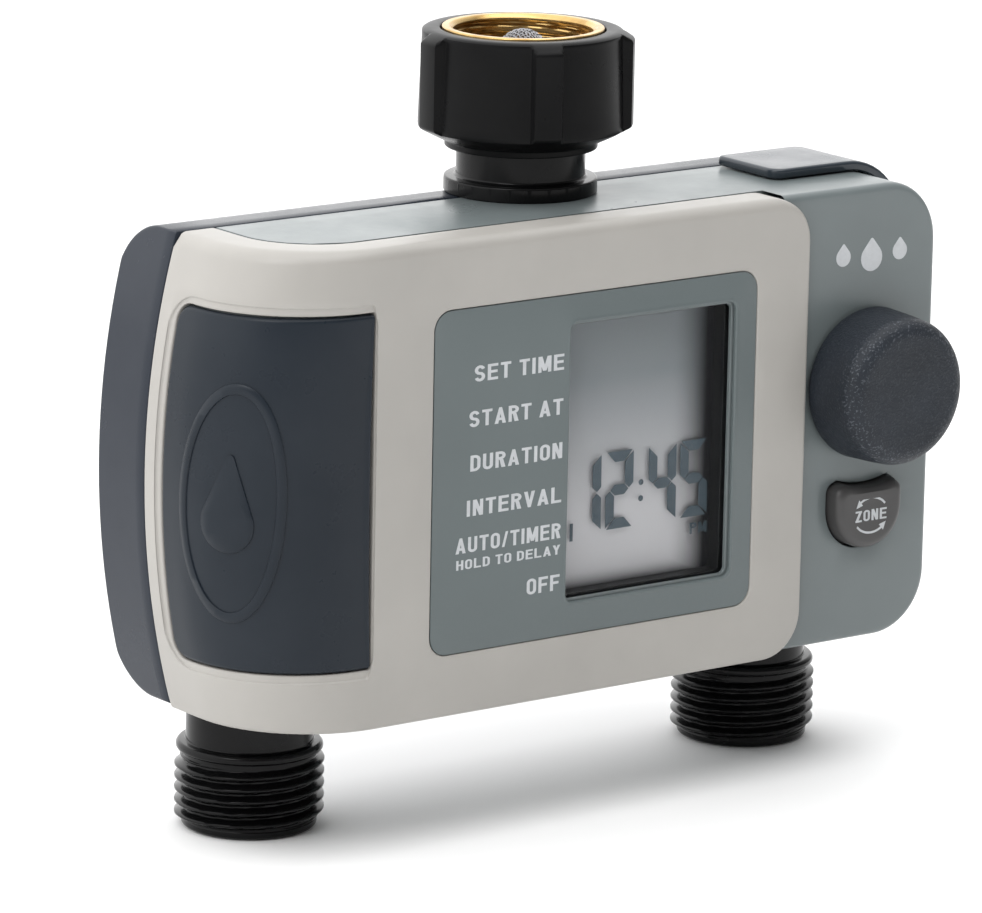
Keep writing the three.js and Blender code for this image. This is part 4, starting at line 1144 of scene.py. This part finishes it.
def inlet_nut():
    """Coupling nut with five grip lobes, bevelled above and below, hollow for the brass thread."""
    skin = Skin()
    sides = 360
    heights = [-0.3, -0.32, -0.4, -0.55, -0.75, -1.0, -1.3, -1.6, -1.9, -2.2, -2.5, -2.9, -3.5]
    heights += list(np.linspace(-5, -15, 6))
    heights += [-16.0, -16.6, -17.0, -17.3, -17.6, -17.9, -18.3, -18.8, -19.4, -20.0, -20.4]
    body_r, body_flare, lobe_r, rim_r, upper_r, lower_r, foot_r = 18.3, 0.5, 20.25, 16.9, 20.6, 20.7, 14.5
    lobe_pitch, lobe_at, lobe_half, flank = 72, 247, 9.3, 2.4

    def bevel(z):
        upper = rim_r + (upper_r - rim_r) * min(1.0, max(0.0, (-0.3 - z) / 1.9)) ** 0.62
        lower = lower_r - (lower_r - foot_r) * max(0.0, (-17.3 - z) / 3.15) ** 1.08
        return min(upper, lower)

    def lobe(angle):
        """0 on the body, 1 on a grip lobe, with soft flanks."""
        offset = (math.degrees(angle) - lobe_at) % lobe_pitch
        t = min(1.0, max(0.0, (lobe_half - min(offset, lobe_pitch - offset)) / flank))
        return t * t * (3 - 2 * t)

    angles = [TAU * i / sides for i in range(sides)]
    lobes = [lobe(a) for a in angles]
    rings = []
    for z in heights:
        body = body_r + body_flare * min(1.0, max(0.0, (-2 - z) / 15))
        radii = [smooth_min(body + (lobe_r - body) * t, bevel(z), 0.5) for t in lobes]
        rings.append(skin.ring([(r * math.cos(a), r * math.sin(a), z) for r, a in zip(radii, angles)]))
    skin.stack(rings)
    hollow = skin.turn(soft([(14.4, -20.5), (13.9, -20.7), (13.9, -21.9), (12.05, -21.9), (12.05, -16.9),
                             (14.0, -16.9), (14.0, -11.5), (15.0, -11.4), (15.0, -0.5), (15.2, -0.3),
                             (16.2, -0.28)]), sides)
    skin.bridge(rings[-1], hollow[0])
    skin.bridge(hollow[-1], rings[0])
    piece("inlet_nut_grip", skin, "nut", "inlet_coupling", ["inlet_nut"], 35)


def thread_radius(phase, root, crest):
    """Radius of a 60 degree thread with small flats at a phase from 0 to 1."""
    away = abs(phase % 1.0 - 0.5) * PITCH
    t = min(1.0, max(0.0, 1 - (away - 0.15) / (0.577 * abs(crest - root))))
    return root + (crest - root) * (t * t * (3 - 2 * t) * 0.35 + t * 0.65)


THREAD_SIDES = 128


def threaded(skin, x, root, crest, start, end, first, step, fade):
    """Rings of a helical thread between two heights; returns the first and last ring."""
    count = round(abs(end - start) / step)
    rings = []
    for k in range(count + 1):
        z = start + (end - start) * k / count
        near = min(1.0, min(abs(z - start), abs(z - end)) / fade)
        ring = []
        for i in range(THREAD_SIDES):
            phase = (z - first) / PITCH + 0.5 - i / THREAD_SIDES
            r = root + (thread_radius(phase, root, crest) - root) * near
            a = TAU * i / THREAD_SIDES
            ring.append((x + r * math.cos(a), r * math.sin(a), z))
        rings.append(skin.ring(ring))
    skin.stack(rings)
    return rings[0], rings[-1]


def inlet_insert():
    """Brass sleeve; its female thread is cut outwards from the smaller radius."""
    skin = Skin()
    bottom, top = threaded(skin, 0, 12.65, 13.5, -10.6, -0.7, -2.0, 0.16, 0.4)
    rim = skin.turn(soft([(12.7, -0.6), (13.3, -0.1), (13.5, 0.0), (14.55, 0.0), (14.7, -0.15), (14.7, -11.0),
                          (12.7, -11.0)], 0.12), THREAD_SIDES)
    skin.bridge(top, rim[0])
    skin.bridge(rim[-1], bottom)
    piece("inlet_brass_thread", skin, "brass", "inlet_coupling", ["inlet_thread_insert"], 40)


def inlet_filter():
    """Woven wire drawn into a dome, in a pressed steel ring."""
    skin = Skin()
    r, base, foot, wire, pitch, turn = 4.75, -5.5, -11.8, 0.13, 0.62, 5

    def tube(path):
        rings = []
        for i, p in enumerate(path):
            along = (Vector(path[min(i + 1, len(path) - 1)]) - Vector(path[max(i - 1, 0)])).normalized()
            side = along.cross(Vector((0.3, 0.5, 0.8))).normalized()
            up = along.cross(side)
            rings.append(skin.ring([Vector(p) + side * wire * math.cos(TAU * k / turn)
                                    + up * wire * math.sin(TAU * k / turn) for k in range(turn)]))
        skin.stack(rings)
        skin.faces += [tuple(rings[0]), tuple(rings[-1][::-1])]

    for direction in (0, 1):
        for c in np.arange(-r + pitch / 2, r, pitch):
            across = math.sqrt(r * r - c * c)
            steps = max(6, int(across * math.pi / 0.3))
            path = [(-across, c, height) for height in np.linspace(foot, base, 8)[:-1]]
            for k in range(steps + 1):
                a = math.pi * k / steps
                s = across + wire * 0.9 * math.cos(math.pi * (across * a) / pitch + math.pi * direction)
                path.append((-s * math.cos(a), c, base + s * math.sin(a)))
            path += [(across, c, height) for height in np.linspace(base, foot, 8)[1:]]
            tube([(y, x, z) for x, y, z in path] if direction else path)
    hoop = oval(0, 0, r + wire * 0.5, r + wire * 0.5, 0, 360, 40)
    for height in np.arange(foot + 0.5, base, pitch):
        tube([(x, y, height) for x, y in hoop])
    skin.turn(soft([(4.4, -12.4), (7.4, -12.4), (7.4, -11.8), (5.6, -11.7), (5.2, -11.0), (4.95, -11.0),
                    (4.9, -11.9), (4.4, -12.4)], 0.12), 72)
    piece("inlet_mesh_filter", skin, "wire", "housing", ["inlet_filter"], 60)


def inlet_washer():
    ring = [(7.7, -12.7), (7.7, -11.6), (12.3, -11.6), (12.3, -13.8), (7.7, -13.8), (7.7, -12.7)]
    piece("inlet_rubber_washer", lathe(soft(ring)), "rubber", "housing", ["inlet_washer"], 40)


def inlet_neck():
    """Round outside of the stem between the nut and the housing."""
    profile = soft([(11.2, -20.0), (11.75, -20.0), (11.75, -26.9), (12.1, -27.25), (13.95, -27.3),
                    (14.0, -30.0), (13.6, -30.15), (11.2, -30.15), (11.2, -20.0)], 0.4, 5)
    piece("inlet_neck_collar", lathe(profile, 128), "black", "housing", (), 40)


def outlet(side, x):
    """Male hose thread below a collar, with its bore."""
    skin = Skin()
    low, high = threaded(skin, x, 12.1, 13.495, -138.55, -126.95, -129.8, 0.145, 0.55)
    collar = soft([(12.1, -126.8), (12.1, -126.15), (12.9, -126.0), (13.25, -125.6), (13.25, -124.9),
                   (12.8, -124.35), (11.5, -124.3), (11.5, -111.9)], 0.25)
    bore = soft([(12.12, -138.6), (12.2, -138.75), (12.2, -139.6), (11.75, -140.0), (8.9, -140.0),
                 (8.6, -139.7), (8.6, -118.0), (4.2, -114.5), (4.2, -112.2)], 0.2)
    above, below = [skin.turn(profile, THREAD_SIDES, centre=(x, 0, 0)) for profile in (collar, bore)]
    for a, b in ((high, above[0]), (low, below[0]), (above[-1], below[-1])):
        skin.bridge(a, b)
    piece(f"outlet_{side}_thread", skin, "black", "housing", [f"outlet_{side}"], 40)


# ------------------------------------------------------------------ small pieces

def rear_screws():
    """Pan heads with a cross recess, on the rear screws' shanks."""
    r, deep, arm, slot, turn = 2.8, 1.1, 1.55, 0.34, 17
    quarter = [(slot, slot), (slot, arm), (-slot, arm)]
    cross = [p for x, z in ((1, 0), (0, 1), (-1, 0), (0, -1))
             for p in [(px * x - pz * z, px * z + pz * x) for px, pz in quarter]]
    for index, x, z, head_y in screw_places():
        skin = Skin()
        tilt = math.radians(turn * index)
        tilted = [(px * math.cos(tilt) - pz * math.sin(tilt), px * math.sin(tilt) + pz * math.cos(tilt))
                  for px, pz in cross]
        on_screw = level(lambda px, pz, y: (x + px, y, z + pz))
        head = skin.turn([(r, head_y - 1.5), (r, head_y - 0.7), (r - 0.15, head_y - 0.4),
                          (r - 0.5, head_y - 0.14), (r - 1.0, head_y)], 48, "Y", (x, 0, z))
        sunk = [(px * 0.6, pz * 0.6) for px, pz in tilted]
        top, floor = skin.loft([(tilted, head_y), (sunk, head_y - deep)], on_screw)
        skin.faces += [tuple(floor), tuple(head[0])]
        skin.fill([head[-1], top], [oval(0, 0, r - 1.0, r - 1.0, 0, 360, 48)[:-1], tilted], on_screw(head_y))
        skin.turn([(0, -10), (1.2, -9), (1.3, head_y - 1.6), (0, head_y - 1.6)], 20, "Y", (x, 0, z))
        piece(f"rear_screw_{index}_head", skin, "steel", "housing", [f"rear_screw_{index}"], 30)


def cells():
    """AA cells with a crimped shoulder, wrap and button end; the second one stands upside down."""
    for i in (1, 2):
        low, high = [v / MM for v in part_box(f"battery_{i}")]
        length = high.z - low.z
        profile = soft([(0.0, 0), (5.6, 0), (6.3, 0.25), (6.9, 0.2), (7.25, 0.8), (7.25, length - 1.9),
                        (6.9, length - 1.25), (6.0, length - 1.2), (5.6, length - 1.45), (2.8, length - 1.35),
                        (2.75, length - 0.2), (2.3, length), (0.0, length)], 0.25)
        if i == 2:
            profile = [(r, length - h) for r, h in profile][::-1]
        centre = ((low.x + high.x) / 2, (low.y + high.y) / 2, 0)
        skin = lathe([(r, low.z + h) for r, h in profile], 72, centre)
        piece(f"battery_{i}_cell", skin, "cell", "housing", [f"battery_{i}"], 40)


CAD_FINISH = {                         # material of each slot, where the names differ
    "coil_dark": "coil", "white_plastic": "white", "black_plastic": "inner", "black_gloss": "black",
    "grey_plastic": "grey", "slate_plastic": "slate", "rear_plastic": "rear", "cream_plastic": "cream",
    "panel_plastic": "panel", "knob_plastic": "knob", "button_plastic": "button", "clear_window": "lens",
    "display": "reflector",
}


def finish_cad_nodes():
    """Gives every carried-over CAD node a procedural material of its slot."""
    slots = {s["node"]: s["material_slot"] for s in frame["record"]["subparts"]}
    for name, node in frame["nodes"].items():
        node.data.materials.clear()
        node.data.materials.append(M[CAD_FINISH.get(slots[name], slots[name])])


# ------------------------------------------------------------------ stage

def area_light(name, at, aim, size, power):
    light = bpy.data.lights.new(name, "AREA")
    light.shape = "RECTANGLE"
    light.size, light.size_y = size
    light.energy = power
    obj = linked(name, light)
    obj.location = at
    obj.rotation_mode = "QUATERNION"
    obj.rotation_quaternion = (Vector(aim) - Vector(at)).to_track_quat("-Z", "Y")


def stage():
    """Pale floor just below the outlets, two soft lights and a bright surround."""
    bm = bmesh.new()
    bmesh.ops.create_grid(bm, x_segments=1, y_segments=1, size=30)
    mesh = bpy.data.meshes.new("floor")
    bm.to_mesh(mesh)
    bm.free()
    floor = linked("floor", mesh)
    floor.location = (0, 0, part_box("outlet_left")[0].z - 0.0002)
    n = Nodes("pale floor")
    tint = n.patches(3, 3, (0.90, 0.90, 0.90, 1), (0.93, 0.93, 0.93, 1))
    mesh.materials.append(n.set(Base_Color=tint, Roughness=0.75, Specular_IOR_Level=0.2))

    studio_world()
    aim = (0, 0, -0.07)
    area_light("key", (-1.0, -0.45, 0.9), aim, (0.6, 0.6), 4)
    area_light("top", (0.15, -0.45, 1.3), aim, (1.5, 1.0), 9)


def studio_world():
    """White cyclorama: bright behind the object and on its left, dim in front of it."""
    world = bpy.data.worlds.new("studio")
    bpy.context.scene.world = world
    world.use_nodes = True
    nodes, links = world.node_tree.nodes, world.node_tree.links
    nodes["Background"].inputs["Color"].default_value = (1, 1, 1, 1)
    facing = nodes.new("ShaderNodeVectorMath")
    facing.operation = "DOT_PRODUCT"
    facing.inputs[1].default_value = (-0.35, 0.80, 0.38)
    links.new(nodes.new("ShaderNodeTexCoord").outputs["Generated"], facing.inputs[0])
    shade = nodes.new("ShaderNodeMapRange")
    shade.interpolation_type = "SMOOTHSTEP"
    for key, value in (("From Min", -0.40), ("From Max", 0.60), ("To Min", 0.22), ("To Max", 1.85)):
        shade.inputs[key].default_value = value
    links.new(facing.outputs["Value"], shade.inputs["Value"])
    links.new(shade.outputs["Result"], nodes["Background"].inputs["Strength"])


def camera():
    data = bpy.data.cameras.new("camera")
    cam = linked("camera", data)
    right = Vector((0.80301, -0.59567, 0.01875))
    back = right.cross(Vector((0.12108, 0.19387, 0.97353))).normalized()
    rotation = Matrix((right.normalized(), back.cross(right).normalized(), back)).transposed()
    cam.matrix_world = Matrix.Translation(Vector((-716.742, -950.175, 198.568)) * MM) @ rotation.to_4x4()
    data.sensor_fit = "HORIZONTAL"
    data.sensor_width = 36
    data.lens = 244.9
    data.clip_start, data.clip_end = 0.05, 50
    bpy.context.scene.camera = cam


# ------------------------------------------------------------------ build

camera()
finish_cad_nodes()
front_bezel()
battery_cover()
front_housing()
bay_liner()
rear_housing()
corner_cap()
control_panel()
display()
display_digits()
panel_print()
housing_print()
selector_knob()
station_button()
button_print()
inlet_nut()
inlet_insert()
inlet_filter()
inlet_washer()
inlet_neck()
for side_name, axis_x in OUTLETS:
    outlet(side_name, axis_x)
rear_screws()
cells()
stage()
bpy.context.scene.view_settings.view_transform = "Standard"
